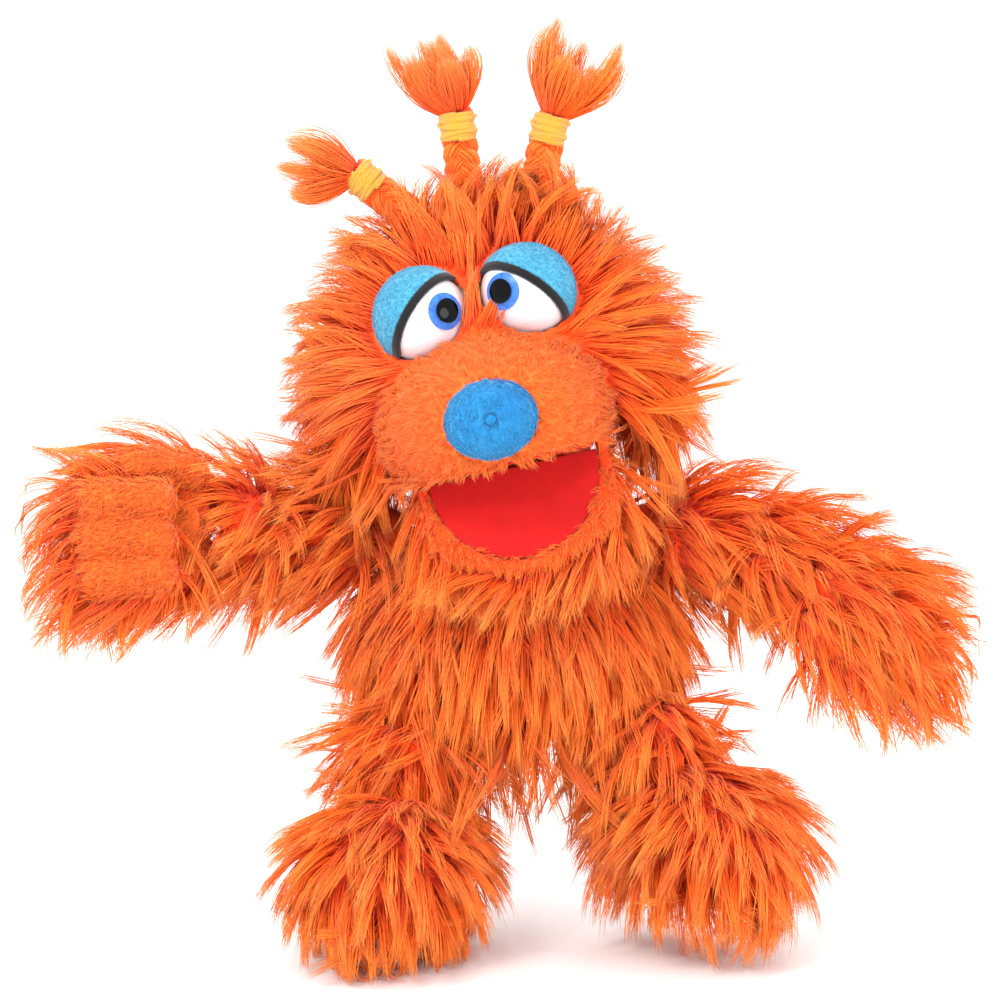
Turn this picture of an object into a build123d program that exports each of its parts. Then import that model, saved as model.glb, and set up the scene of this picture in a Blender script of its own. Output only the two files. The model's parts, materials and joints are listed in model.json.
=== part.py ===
"""A moving-mouth monster hand puppet, worn on one arm, with a second hand in either glove.

Millimetres, +Z up. The puppet faces -Y. The origin is the middle of the cuff that the arm goes up through.
Left and right are as seen from the front, so the left side is -X. Soft pieces have the size of their fur's
middle, between the cloth and the tips.
"""

import math
import os

from build123d import *

os.makedirs("parts", exist_ok=True)

# ---- gaps
CLEAR = 0.6  # between pieces that turn in each other
SEAM = 0.3  # between pieces sewn face to face
SOFT_SEAM = 1.2  # between large rounded faces

# ---- the sleeve that the arm goes up
SLEEVE_R = 42
LINING = 1.4
CUFF_WALL = 5
CUFF_HEIGHT = 12
SHOULDER_Z = 120  # top of the body bag

# ---- the body bag: height, half width, half depth, middle's y
BODY_RINGS = [
    (CUFF_HEIGHT + SEAM, 66, 54, -6),
    (34, 82, 62, -7),
    (66, 86, 64, -8),
    (92, 78, 56, -3),
    (111, 64, 53, -1),
    (SHOULDER_Z, 55, 51, 0),
]
BODY_CLOTH = 4

# ---- the neck, a ball of cloth layers round one pivot
NECK_Z = 150
NECK_BORE_R = 37
NECK_R = 45
GUSSET = 1.6  # thickness of a sliding layer

# ---- the head, in its own tilted frame with the neck pivot as origin
HEAD_TILT = 13
SKULL_HALF_WIDTH = 93
SKULL_R = 84
SKULL_AT = (0, -20, 66)
SKULL_CLOTH = 4
SKULL_BOTTOM = 34
HAND_ROOM_R = 44
HAND_ROOM_TOP = 88

# ---- the mouth
FOLD_Y = -68
FOLD_Z = 16.5
MOUTH_ANGLE = 55  # how far the mouth stands open
MOUTH_SPARE = 12  # how much further it opens
PLATE_HALF_WIDTH = 49
PLATE_DEPTH = 62
BOARD = 2
MOUTH_CLOTH = 1.5
LIP = 8
RECESS = 2  # how far the recess for a plate reaches round its board

# ---- the muzzle and nose
MUZZLE_HALF = (66, 77, 50)
MUZZLE_AT = (-3, -68, 45)
NOSE_HALF = (25, 17, 21)
NOSE_AT = (-5, -143, 45)

# ---- the eyes
EYE_R = 26
EYE_X = 30
EYE_Y = -80
EYE_Z = 109
GAZE = {"left": (0.52, -0.85, 0.0), "right": (-0.50, -0.84, 0.14)}  # the eyes look inwards
LID = 2.2
LID_UP = (0.66, 0.38, 0.65)  # normal of the right lid's edge, outwards, back and up
LASH = 4.5
IRIS_ANGLE = 23
PUPIL_ANGLE = 14

# ---- the limbs
BALL_R = 19
FLARE = 32  # slope of a limb's end away from its joint
ARM_R = 24
LEG_R = 27
PALM = (66, 68, 32)
PALM_PATCH = 3
FINGER_R = 10
FINGER_PITCH = 22
FINGER_PARTS = (17, 37)
THUMB_R = 9

HEAD = Plane(
    origin=(0, 0, NECK_Z),
    x_dir=(math.cos(math.radians(HEAD_TILT)), 0, math.sin(math.radians(HEAD_TILT))),
    z_dir=(-math.sin(math.radians(HEAD_TILT)), 0, math.cos(math.radians(HEAD_TILT))),
)


def save(piece, name):
    """Name a piece and write it to its file."""
    piece.label = name
    export_step(piece, f"parts/{name}.step")


def hinged(plane, at, degrees):
    """A frame's copy with its origin moved to a local point, turned about its own x axis."""
    turn = math.radians(degrees)
    up = plane.z_dir * math.cos(turn) - plane.y_dir * math.sin(turn)
    return Plane(origin=plane.from_local_coords(Vector(*at)), x_dir=plane.x_dir, z_dir=up)


JAW = hinged(HEAD, (0, FOLD_Y, FOLD_Z), MOUTH_ANGLE)


def ellipsoid(x, y, z):
    """A solid ellipsoid with these half axes."""
    with BuildPart() as egg:
        Sphere(1)
        scale(by=(x, y, z))
    return egg.part


def ring_zone(inner, outer, low, high):
    """A belt of a hollow ball round Z, between two latitudes in degrees."""

    def at(radius, degrees):
        return radius * math.cos(math.radians(degrees)), radius * math.sin(math.radians(degrees))

    middle = (low + high) / 2
    with BuildPart() as belt:
        with BuildSketch(Plane.XZ):
            with BuildLine():
                ThreePointArc(at(outer, low), at(outer, middle), at(outer, high))
                Line(at(outer, high), at(inner, high))
                ThreePointArc(at(inner, high), at(inner, middle), at(inner, low))
                Line(at(inner, low), at(outer, low))
            make_face()
        revolve(axis=Axis.Z)
    return belt.part


def cap_on_ball(centre, direction, inner, outer, angle):
    """A round cap of a hollow ball, seen down one direction, out to an angle from it."""
    turn = math.radians(angle)
    with BuildPart() as cap:
        with BuildSketch(Plane.XZ):
            with BuildLine():
                ThreePointArc(
                    (0, outer),
                    (outer * math.sin(turn / 2), outer * math.cos(turn / 2)),
                    (outer * math.sin(turn), outer * math.cos(turn)),
                )
                Line((outer * math.sin(turn), outer * math.cos(turn)),
                     (inner * math.sin(turn), inner * math.cos(turn)))
                ThreePointArc(
                    (inner * math.sin(turn), inner * math.cos(turn)),
                    (inner * math.sin(turn / 2), inner * math.cos(turn / 2)),
                    (0, inner),
                )
                Line((0, inner), (0, outer))
            make_face()
        revolve(axis=Axis.Z)
    return Plane(origin=centre, z_dir=direction).location * cap.part


def limb_frame(start, end):
    """A plane along a limb: local y runs from start to end, local x is radial."""
    along = (Vector(*end) - Vector(*start)).normalized()
    side = along.cross(Vector(0, 1, 0)).normalized()
    return Plane(origin=start, x_dir=side, z_dir=side.cross(along)), along


def limb(start, end, start_r, end_r, start_kind, end_kind, ball=BALL_R):
    """A stuffed tube between two joint points. Each end is a ball, a cup for a ball, or flat."""
    outline, along = limb_frame(start, end)
    length = (Vector(*end) - Vector(*start)).length
    slope = math.radians(FLARE)
    half = (math.pi / 2 - slope) / 2 + slope
    cup = ball + CLEAR

    def rim(radius, kind):
        """The outline of one end, from the axis outwards, as if the limb ran up from it."""
        if kind == "flat":
            return [(0, 0), (radius, 0)], None
        if kind == "ball":
            inner = (ball * math.cos(slope), ball * math.sin(slope))
            waist = (ball * math.cos(math.radians(-30)), ball * math.sin(math.radians(-30)))
            return [(0, -ball), inner, (radius, radius * math.tan(slope))], waist
        inner = (cup * math.cos(slope), cup * math.sin(slope))
        middle = (cup * math.cos(half), cup * math.sin(half))
        return [(0, cup), inner, (radius, radius * math.tan(slope))], middle

    def draw(points, bend):
        if bend is None:
            Line(points[0], points[1])
            return
        ThreePointArc(points[0], bend, points[1])
        Line(points[1], points[2])

    low, low_bend = rim(start_r, start_kind)
    high, high_bend = rim(end_r, end_kind)
    high = [(x, length - y) for x, y in high]
    if high_bend is not None:
        high_bend = (high_bend[0], length - high_bend[1])
    middle = (max(start_r, end_r) * 1.03, (low[-1][1] + high[-1][1]) / 2)
    with BuildPart() as tube:
        with BuildSketch(outline):
            with BuildLine():
                draw(low, low_bend)
                ThreePointArc(low[-1], middle, high[-1])
                draw(high, high_bend)
                Line(high[0], low[0])
            make_face()
        revolve(axis=Axis(start, along))
    return tube.part


def half_plate(top, half_width, depth, thickness, back=2.5):
    """A half ellipse in a local frame, from a height down, its straight side at y = -back."""
    with BuildPart() as plate:
        with BuildSketch(Plane.XY.offset(top)):
            with Locations((0, -back)):
                Ellipse(half_width, depth - back)
            split(bisect_by=Plane.XZ.offset(back), keep=Keep.TOP)
        extrude(amount=-thickness)
    return plate.part


def capsules(points, radius):
    """A round-ended sausage through a few points."""
    with BuildPart() as sausage:
        for start, end in zip(points, points[1:]):
            run = Vector(*end) - Vector(*start)
            with BuildSketch(Plane(origin=start, z_dir=run.normalized())):
                Circle(radius)
            extrude(amount=run.length)
        with Locations(*points):
            Sphere(radius)
    return sausage.part


# ---------------------------------------------------------------- the joint points, in the world
LEFT_SHOULDER = (-81, 2, 116)
LEFT_ELBOW = (-141, -12, 123)
LEFT_WRIST = (-182, -28, 123)
RIGHT_SHOULDER = (81, 2, 119)
RIGHT_ELBOW = (133, -8, 117)
RIGHT_WRIST = (175, -16, 97)
LEFT_HIP = (-57, -40, 16)
LEFT_ANKLE = (-68, -46, -34)
RIGHT_HIP = (58, -42, 14)
RIGHT_ANKLE = (93, -38, -18)


# ---------------------------------------------------------------- the body
def bag(inset):
    """The body's outer shape, made smaller all over by an inset."""
    with BuildPart() as shape:
        for index, (z, half_width, half_depth, middle_y) in enumerate(BODY_RINGS):
            ends = {0: inset, len(BODY_RINGS) - 1: -inset}
            with BuildSketch(Plane.XY.offset(z + ends.get(index, 0))):
                with Locations((0, middle_y)):
                    Ellipse(half_width - inset, half_depth - inset)
        loft()
    return shape.part


def cut_limb_seats():
    """Round seats for the shoulder and hip pads, cut from the part being built."""
    for joint in (LEFT_SHOULDER, RIGHT_SHOULDER, LEFT_HIP, RIGHT_HIP):
        with Locations(joint):
            Sphere(BALL_R + CLEAR, mode=Mode.SUBTRACT)


bore_r = SLEEVE_R + LINING + SEAM
with BuildPart() as body_skin:
    add(bag(0))
    add(bag(BODY_CLOTH), mode=Mode.SUBTRACT)
    with Locations((0, 0, SHOULDER_Z / 2)):
        Cylinder(bore_r, 2 * SHOULDER_Z, mode=Mode.SUBTRACT)
    cut_limb_seats()
save(body_skin.part, "body_skin")

with BuildPart() as body_padding:
    add(bag(BODY_CLOTH + SOFT_SEAM))
    with Locations((0, 0, SHOULDER_Z / 2)):
        Cylinder(bore_r, 2 * SHOULDER_Z, mode=Mode.SUBTRACT)
    cut_limb_seats()
save(body_padding.part, "body_padding")

with BuildPart() as body_lining:
    with BuildSketch(Plane.XY):
        Circle(SLEEVE_R + LINING)
        Circle(SLEEVE_R, mode=Mode.SUBTRACT)
    extrude(amount=SHOULDER_Z)
save(body_lining.part, "body_lining")

with BuildPart() as sleeve_cuff:
    with BuildSketch(Plane.XY):
        Circle(bore_r + CUFF_WALL)
        Circle(bore_r, mode=Mode.SUBTRACT)
    extrude(amount=CUFF_HEIGHT)
    fillet(sleeve_cuff.edges().filter_by(GeomType.CIRCLE).group_by(SortBy.RADIUS)[-1], 1.8)
save(sleeve_cuff.part, "sleeve_cuff")

# the collar stands on the bag and swells into the ball that the neck layers slide on
collar_foot = SHOULDER_Z + SEAM - NECK_Z
waist_r = 42
waist_z = -math.sqrt(NECK_R**2 - waist_r**2)
collar_top = math.sqrt(NECK_R**2 - NECK_BORE_R**2)
with BuildPart() as neck_collar:
    with BuildSketch(Plane(origin=(0, 0, NECK_Z), x_dir=(1, 0, 0), z_dir=(0, -1, 0))):
        with BuildLine():
            Line((NECK_BORE_R, collar_foot), (waist_r, collar_foot))
            Line((waist_r, collar_foot), (waist_r, waist_z))
            ThreePointArc((waist_r, waist_z), (NECK_R, 0), (NECK_BORE_R, collar_top))
            Line((NECK_BORE_R, collar_top), (NECK_BORE_R, collar_foot))
        make_face()
    revolve(axis=Axis.Z)
save(neck_collar.part, "neck_collar")

# ---------------------------------------------------------------- the neck's two sliding layers
lower_in = NECK_R + CLEAR
lower_out = lower_in + GUSSET
upper_in = lower_out + CLEAR
upper_out = upper_in + GUSSET
neck_hollow_r = upper_out + CLEAR
neck_place = Location((0, 0, NECK_Z))
save(neck_place * ring_zone(lower_in, lower_out, -6, 33), "neck_gusset_inner")
save(neck_place * ring_zone(upper_in, upper_out, -6, 36), "neck_gusset_outer")

# ---------------------------------------------------------------- the head
eye_places = {"left": (-EYE_X, EYE_Y, EYE_Z), "right": (EYE_X, EYE_Y, EYE_Z)}
POST_R = 4
POST_LENGTH = 34
WASHER_R = 13
WASHER = 2.5

braids = {
    # name: (root, band, tip) in the world, and the tuft's radius
    "left": ((-46, -20, 296), (-90, -24, 331), (-134, -30, 342), 20),
    "middle": ((-27, -26, 299), (-35, -32, 362), (-52, -36, 408), 21),
    "right": ((6, -22, 300), (19, -28, 361), (38, -32, 408), 20),
}
PLAIT_BALL = 7
PLAIT_R = 9.5


def skull(inset):
    """The skull's egg, made smaller all over by an inset."""
    return ellipsoid(SKULL_HALF_WIDTH - inset, SKULL_R - inset, SKULL_R - inset)


def cut_skull():
    """The hollows that the skull's cloth and foam share: neck, hand room, finger tunnel, eyes and braids."""
    Sphere(neck_hollow_r, mode=Mode.SUBTRACT)
    with Locations((0, 0, HAND_ROOM_TOP / 2)):
        Cylinder(HAND_ROOM_R, HAND_ROOM_TOP, mode=Mode.SUBTRACT)
    tunnel_y = FOLD_Y - 50
    with Locations((0, tunnel_y / 2, SKULL_BOTTOM)):
        Box(2 * HAND_ROOM_R - 4, -tunnel_y, 2 * 17, mode=Mode.SUBTRACT)
    for place in eye_places.values():
        with Locations(place):
            Sphere(EYE_R + SEAM, mode=Mode.SUBTRACT)
            with Locations(Location((0, POST_LENGTH / 2, 0), (90, 0, 0))):
                Cylinder(POST_R + SEAM, POST_LENGTH + 2, mode=Mode.SUBTRACT)
            with Locations(Location((0, POST_LENGTH - WASHER / 2, 0), (90, 0, 0))):
                Cylinder(WASHER_R + SEAM, WASHER + 2 * SEAM, mode=Mode.SUBTRACT)
    for root, *_ in braids.values():
        with Locations(HEAD.to_local_coords(Vector(*root))):
            Sphere(PLAIT_BALL + CLEAR, mode=Mode.SUBTRACT)
    with Locations((0, 0, SKULL_BOTTOM - 100)):
        Box(400, 400, 200, mode=Mode.SUBTRACT)


with BuildPart(HEAD) as head_skin:
    with Locations(SKULL_AT):
        add(skull(0))
        add(skull(SKULL_CLOTH), mode=Mode.SUBTRACT)
    cut_skull()
save(head_skin.part, "head_skin")

with BuildPart(HEAD) as head_foam:
    with Locations(SKULL_AT):
        add(skull(SKULL_CLOTH + SOFT_SEAM))
    cut_skull()
save(head_foam.part, "head_foam")

# ---------------------------------------------------------------- the muzzle and the roof of the mouth
palate_low = FOLD_Z + 2
board_low = palate_low + MOUTH_CLOTH + SEAM
board_top = board_low + BOARD
POCKET = (76, 36, 22)
POCKET_CLOTH = 1.5
pocket_y = FOLD_Y - 6
NOSE_DIMPLE_R = 6
BUTTON_R = 3.2
BUTTON = 2.4


def skull_seat():
    """The space that the skull's cloth fills, a seam's width larger, with its flat bottom."""
    with BuildPart() as seat:
        with Locations(SKULL_AT):
            add(skull(-SOFT_SEAM))
        with Locations((0, 0, SKULL_BOTTOM - SEAM - 100)):
            Box(400, 400, 200, mode=Mode.SUBTRACT)
    return seat.part


with BuildPart(HEAD) as muzzle_pad:
    with Locations(MUZZLE_AT):
        add(ellipsoid(*MUZZLE_HALF))
    with Locations((0, 0, palate_low - 100), (0, FOLD_Y + 200, 100)):
        Box(400, 400, 200, mode=Mode.SUBTRACT)
    add(skull_seat(), mode=Mode.SUBTRACT)
    with Locations((0, FOLD_Y, 0)):
        recess_depth = board_top + SEAM - palate_low + 1
        add(
            half_plate(board_top + SEAM, PLATE_HALF_WIDTH + RECESS, PLATE_DEPTH + RECESS, recess_depth, 0),
            mode=Mode.SUBTRACT,
        )
    with Locations((0, pocket_y - POCKET[1] / 2 + 3.5, board_top + SEAM + POCKET[2] / 2)):
        Box(POCKET[0] + 2, POCKET[1] + 9, POCKET[2] + 2, mode=Mode.SUBTRACT)
    for place in eye_places.values():
        with Locations(place):
            Sphere(EYE_R + 2 * LID, mode=Mode.SUBTRACT)
    with Locations(NOSE_AT):
        add(ellipsoid(*[half + SEAM for half in NOSE_HALF]), mode=Mode.SUBTRACT)
save(muzzle_pad.part, "muzzle_pad")

with BuildPart(HEAD) as palate_board:
    with Locations((0, FOLD_Y, 0)):
        add(half_plate(board_top, PLATE_HALF_WIDTH, PLATE_DEPTH, BOARD))
save(palate_board.part, "palate_board")

with BuildPart(HEAD) as palate_fabric:
    with Locations((0, FOLD_Y, 0)):
        add(half_plate(palate_low + MOUTH_CLOTH, PLATE_HALF_WIDTH + 1, PLATE_DEPTH + 1, MOUTH_CLOTH))
save(palate_fabric.part, "palate_fabric")

with BuildPart(HEAD) as mouth_fold:
    with Locations(Location((0, FOLD_Y, FOLD_Z), (0, 90, 0))):
        Cylinder(1.8, 2 * PLATE_HALF_WIDTH)
save(mouth_fold.part, "mouth_fold")

with BuildPart(HEAD) as finger_pocket:
    with Locations((0, pocket_y - POCKET[1] / 2, board_top + SEAM + POCKET[2] / 2)):
        Box(*POCKET)
    with Locations((0, pocket_y - POCKET[1] / 2 + POCKET_CLOTH, board_top + SEAM + POCKET[2] / 2)):
        Box(POCKET[0] - 2 * POCKET_CLOTH, POCKET[1], POCKET[2] - 2 * POCKET_CLOTH, mode=Mode.SUBTRACT)
save(finger_pocket.part, "finger_pocket")

nose_front = NOSE_AT[1] - NOSE_HALF[1]
with BuildPart(HEAD) as nose:
    with Locations(NOSE_AT):
        add(ellipsoid(*NOSE_HALF))
    with Locations((NOSE_AT[0], nose_front - 1.5, NOSE_AT[2])):
        Sphere(NOSE_DIMPLE_R, mode=Mode.SUBTRACT)
    with Locations(Location((NOSE_AT[0], nose_front + NOSE_DIMPLE_R - 1, NOSE_AT[2]), (90, 0, 0))):
        Cylinder(BUTTON_R + SEAM, BUTTON + 2, mode=Mode.SUBTRACT)
save(nose.part, "nose")

with BuildPart(HEAD) as nose_button:
    with Locations(Location((NOSE_AT[0], nose_front + NOSE_DIMPLE_R - 1.6, NOSE_AT[2]), (90, 0, 0))):
        Cylinder(BUTTON_R, BUTTON)
    fillet(nose_button.edges().filter_by(GeomType.CIRCLE), 0.7)
save(nose_button.part, "nose_button")

# ---------------------------------------------------------------- the eyes
for side, place in eye_places.items():
    mirror_x = -1 if side == "left" else 1
    lid_up = Vector(mirror_x * LID_UP[0], LID_UP[1], LID_UP[2]).normalized()
    lid_edge = Plane(origin=place, z_dir=lid_up)

    with BuildPart(HEAD) as eyeball:
        with Locations(place):
            Sphere(EYE_R)
        with Locations((place[0], EYE_Y + 2 + 50, place[2])):
            Box(100, 100, 100, mode=Mode.SUBTRACT)
    save(eyeball.part, f"eyeball_{side}")

    def lid_shell(thickness, keep_plane, other_plane=None):
        """A layer over the eyeball, on the upper side of a plane and under another."""
        with BuildPart() as shell:
            with Locations(place):
                Sphere(EYE_R + SEAM + thickness)
                Sphere(EYE_R + SEAM, mode=Mode.SUBTRACT)
            split(bisect_by=keep_plane, keep=Keep.TOP)
            if other_plane is not None:
                split(bisect_by=other_plane, keep=Keep.BOTTOM)
            add(skull_seat(), mode=Mode.SUBTRACT)
        return shell.part

    with BuildPart(HEAD) as eyelid:
        add(lid_shell(LID, lid_edge))
    save(eyelid.part, f"eyelid_{side}")

    with BuildPart(HEAD) as lash:
        add(lid_shell(LID + 0.6, lid_edge.offset(-LASH), lid_edge.offset(-SEAM)))
    save(lash.part, f"lash_{side}")

with BuildPart(HEAD) as irises:
    for side, place in eye_places.items():
        add(cap_on_ball(place, GAZE[side], EYE_R + 0.2, EYE_R + 1.2, IRIS_ANGLE))
save(irises.part, "irises")

with BuildPart(HEAD) as pupils:
    for side, place in eye_places.items():
        add(cap_on_ball(place, GAZE[side], EYE_R + 1.4, EYE_R + 3.0, PUPIL_ANGLE))
save(pupils.part, "pupils")

with BuildPart(HEAD) as eye_posts:
    for x, y, z in eye_places.values():
        with Locations(Location((x, y + 2.3 + (POST_LENGTH - 3) / 2, z), (90, 0, 0))):
            Cylinder(POST_R, POST_LENGTH - 3)
save(eye_posts.part, "eye_posts")

with BuildPart(HEAD) as eye_washers:
    for x, y, z in eye_places.values():
        with Locations(Location((x, y + POST_LENGTH - WASHER / 2, z), (90, 0, 0))):
            Cylinder(WASHER_R, WASHER)
            Cylinder(POST_R + SEAM, 2 * WASHER, mode=Mode.SUBTRACT)
save(eye_washers.part, "eye_washers")

# ---------------------------------------------------------------- the lower jaw
cloth_top = -2
jaw_board_top = cloth_top - MOUTH_CLOTH - SEAM
CHIN_HALF = (57, 39, 27)
THUMB_POCKET = (34, 38, 19)
thumb_pocket_z = jaw_board_top - BOARD - SEAM - THUMB_POCKET[2] / 2
thumb_pocket_y = -12 - THUMB_POCKET[1] / 2


def neck_seen_from_jaw(opened):
    """The neck's ball in the jaw's frame, with the jaw opened further by some degrees."""
    turned = hinged(JAW, (0, 0, 0), opened)
    return turned.to_local_coords(Vector(0, 0, NECK_Z))


with BuildPart(JAW) as jaw_pad:
    add(half_plate(cloth_top, PLATE_HALF_WIDTH + LIP, PLATE_DEPTH + LIP, 8, 3))
    with Locations((0, -PLATE_DEPTH - LIP + CHIN_HALF[1] + 1, cloth_top)):
        add(ellipsoid(*CHIN_HALF))
    with Locations((0, 0, cloth_top + 50), (0, 97, -50)):
        Box(200, 200, 100, mode=Mode.SUBTRACT)
    recess = cloth_top - jaw_board_top + BOARD + SEAM + 1
    add(half_plate(cloth_top + 1, PLATE_HALF_WIDTH + RECESS, PLATE_DEPTH + RECESS, recess, 0), mode=Mode.SUBTRACT)
    with Locations((0, thumb_pocket_y + 10, thumb_pocket_z + 1)):
        Box(THUMB_POCKET[0] + 2, THUMB_POCKET[1] + 22, THUMB_POCKET[2] + 4, mode=Mode.SUBTRACT)
    for opened in (0, MOUTH_SPARE / 2, MOUTH_SPARE):
        with Locations(neck_seen_from_jaw(opened)):
            Sphere(neck_hollow_r + 1, mode=Mode.SUBTRACT)
save(jaw_pad.part, "jaw_pad")

with BuildPart(JAW) as jaw_board:
    add(half_plate(jaw_board_top, PLATE_HALF_WIDTH, PLATE_DEPTH, BOARD))
save(jaw_board.part, "jaw_board")

with BuildPart(JAW) as jaw_fabric:
    add(half_plate(cloth_top, PLATE_HALF_WIDTH + 1, PLATE_DEPTH + 1, MOUTH_CLOTH))
save(jaw_fabric.part, "jaw_fabric")

with BuildPart(JAW) as thumb_pocket:
    with Locations((0, thumb_pocket_y, thumb_pocket_z)):
        Box(*THUMB_POCKET)
    with Locations((0, thumb_pocket_y + POCKET_CLOTH, thumb_pocket_z)):
        thumb_room = [size - 2 * POCKET_CLOTH for size in THUMB_POCKET]
        Box(thumb_room[0], THUMB_POCKET[1], thumb_room[2], mode=Mode.SUBTRACT)
save(thumb_pocket.part, "thumb_pocket")

# ---------------------------------------------------------------- the braids
BAND_WIDTH = 16
BAND_WALL = 4
PLAIT_END_R = 7.5


def turned_about(start, end, outline):
    """A solid turned about the line from start to end, from (radius, height) points joined smoothly."""
    plane, along = limb_frame(start, end)
    with BuildPart() as turned:
        with BuildSketch(plane):
            with BuildLine():
                Line((0, outline[0][1]), outline[0])
                Spline(*outline)
                Line(outline[-1], (0, outline[-1][1]))
                Line((0, outline[-1][1]), (0, outline[0][1]))
            make_face()
        revolve(axis=Axis(start, along))
    return turned.part


for side, (root, band_at, tip, tuft_r) in braids.items():
    plane, along = limb_frame(root, band_at)
    length = (Vector(*band_at) - Vector(*root)).length
    with BuildPart() as plait:
        with BuildSketch(plane):
            with BuildLine():
                ThreePointArc((0, -PLAIT_BALL), (PLAIT_BALL * 0.7071, -PLAIT_BALL * 0.7071), (PLAIT_BALL, 0))
                Spline((PLAIT_BALL, 0), (PLAIT_R, length * 0.4), (PLAIT_END_R, length - BAND_WIDTH / 2))
                Line((PLAIT_END_R, length - BAND_WIDTH / 2), (PLAIT_END_R, length + BAND_WIDTH / 2))
                Line((PLAIT_END_R, length + BAND_WIDTH / 2), (0, length + BAND_WIDTH / 2))
                Line((0, length + BAND_WIDTH / 2), (0, -PLAIT_BALL))
            make_face()
        revolve(axis=Axis(root, along))
    save(plait.part, f"{side}_plait")

    band_plane = Plane(origin=Vector(*root) + along * (length - BAND_WIDTH / 2), z_dir=along)
    with BuildPart(band_plane) as band:
        with BuildSketch(band_plane):
            Circle(PLAIT_END_R + SEAM + BAND_WALL)
            Circle(PLAIT_END_R + SEAM, mode=Mode.SUBTRACT)
        extrude(amount=BAND_WIDTH)
        fillet(band.edges().filter_by(GeomType.CIRCLE).group_by(SortBy.RADIUS)[-1], 1.2)
    save(band.part, f"{side}_band")

    tuft_start = Vector(*root) + along * (length + BAND_WIDTH / 2 + 3)
    tuft_length = (Vector(*tip) - tuft_start).length
    outline = [(5, 0), (tuft_r * 0.7, tuft_length * 0.25), (tuft_r, tuft_length * 0.6), (4, tuft_length)]
    save(turned_about(tuple(tuft_start), tip, outline), f"{side}_tuft")

# ---------------------------------------------------------------- the arms and their gloves
GLOVE_R = 14  # room for a hand inside the forearm
GLOVE_ROOM = (52, 46, 16)  # and inside the palm
GLOVE_END = 20  # the forearm's solid end at the elbow
WRIST_R = 22
PALM_ROUND = 13
hands = {
    # name: (shoulder, elbow, wrist, palm's normal, thumb side, slopes of the two finger parts)
    "left": (LEFT_SHOULDER, LEFT_ELBOW, LEFT_WRIST, (0.36, -0.93, 0.1), -1, (100, 176)),
    "right": (RIGHT_SHOULDER, RIGHT_ELBOW, RIGHT_WRIST, (-0.45, 0.35, -0.80), 1, (100, 176)),
}
KNUCKLE = (PALM[0] + 13, 14)  # along the hand, and off the palm's middle plane
THUMB_ROOT = (14, 36, 16)
THUMB_TIP = (52, 40, 24)

for side, (shoulder, elbow, wrist, palm_normal, thumb_side, slopes) in hands.items():
    with BuildPart() as shoulder_pad:
        with Locations(shoulder):
            Sphere(BALL_R)
    save(shoulder_pad.part, f"{side}_shoulder_pad")
    save(limb(shoulder, elbow, ARM_R, ARM_R, "cup", "cup"), f"{side}_upper_arm")

    along = (Vector(*wrist) - Vector(*elbow)).normalized()
    normal = Vector(*palm_normal)
    normal = (normal - along * normal.dot(along)).normalized()
    hand = Plane(origin=wrist, x_dir=along, z_dir=normal)

    with BuildPart(hand) as forearm:
        forearm_length = (Vector(*wrist) - Vector(*elbow)).length
        add(hand.location.inverse() * limb(elbow, wrist, ARM_R, WRIST_R, "ball", "flat"))
        with Locations(Location(((GLOVE_END - forearm_length) / 2, 0, 0), (0, 90, 0))):
            Cylinder(GLOVE_R, forearm_length - GLOVE_END + 1, mode=Mode.SUBTRACT)
        with Locations((-GLOVE_R, 0, -WRIST_R)):
            Cylinder(GLOVE_R - 2, 2 * WRIST_R, mode=Mode.SUBTRACT)
    save(forearm.part, f"{side}_forearm")

    with BuildPart(hand) as palm:
        with Locations((PALM[0] / 2 + SEAM, 0, 0)):
            Box(*PALM)
        fillet(palm.edges(), PALM_ROUND)
        with Locations((GLOVE_ROOM[0] / 2 - 1, 0, 0)):
            Box(*GLOVE_ROOM, mode=Mode.SUBTRACT)
        thumb_ends = [(x, thumb_side * y, z) for x, y, z in (THUMB_ROOT, THUMB_TIP)]
        add(capsules(thumb_ends, THUMB_R + CLEAR), mode=Mode.SUBTRACT)
    save(palm.part, f"{side}_palm")

    with BuildPart(hand) as palm_patch:
        with BuildSketch(hand.offset(PALM[2] / 2 + SEAM)):
            with Locations((PALM[0] / 2 + 2, -thumb_side * 4)):
                RectangleRounded(PALM[0] - 20, PALM[1] - 24, 12)
        extrude(amount=PALM_PATCH)
    save(palm_patch.part, f"{side}_palm_patch")

    with BuildPart(hand) as fingers:
        for place in (-1, 0, 1):
            y = place * FINGER_PITCH - thumb_side * 3
            points = [(KNUCKLE[0], y, KNUCKLE[1])]
            for part_length, slope in zip(FINGER_PARTS, slopes):
                x, _, z = points[-1]
                turn = math.radians(slope)
                points.append((x + part_length * math.cos(turn), y, z + part_length * math.sin(turn)))
            add(capsules(points, FINGER_R))
    save(fingers.part, f"{side}_fingers")

    with BuildPart(hand) as thumb:
        add(capsules(thumb_ends, THUMB_R))
    save(thumb.part, f"{side}_thumb")

# ---------------------------------------------------------------- the legs
FOOT_HALF_LENGTH = 58
FOOT_R = 38
FOOT_AHEAD = 26
FOOT_DROP = 34
SOLE_DROP = 65
legs = {
    "left": (LEFT_HIP, LEFT_ANKLE, (-0.25, -0.97, 0)),
    "right": (RIGHT_HIP, RIGHT_ANKLE, (0.5, -0.86, 0)),
}

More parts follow.
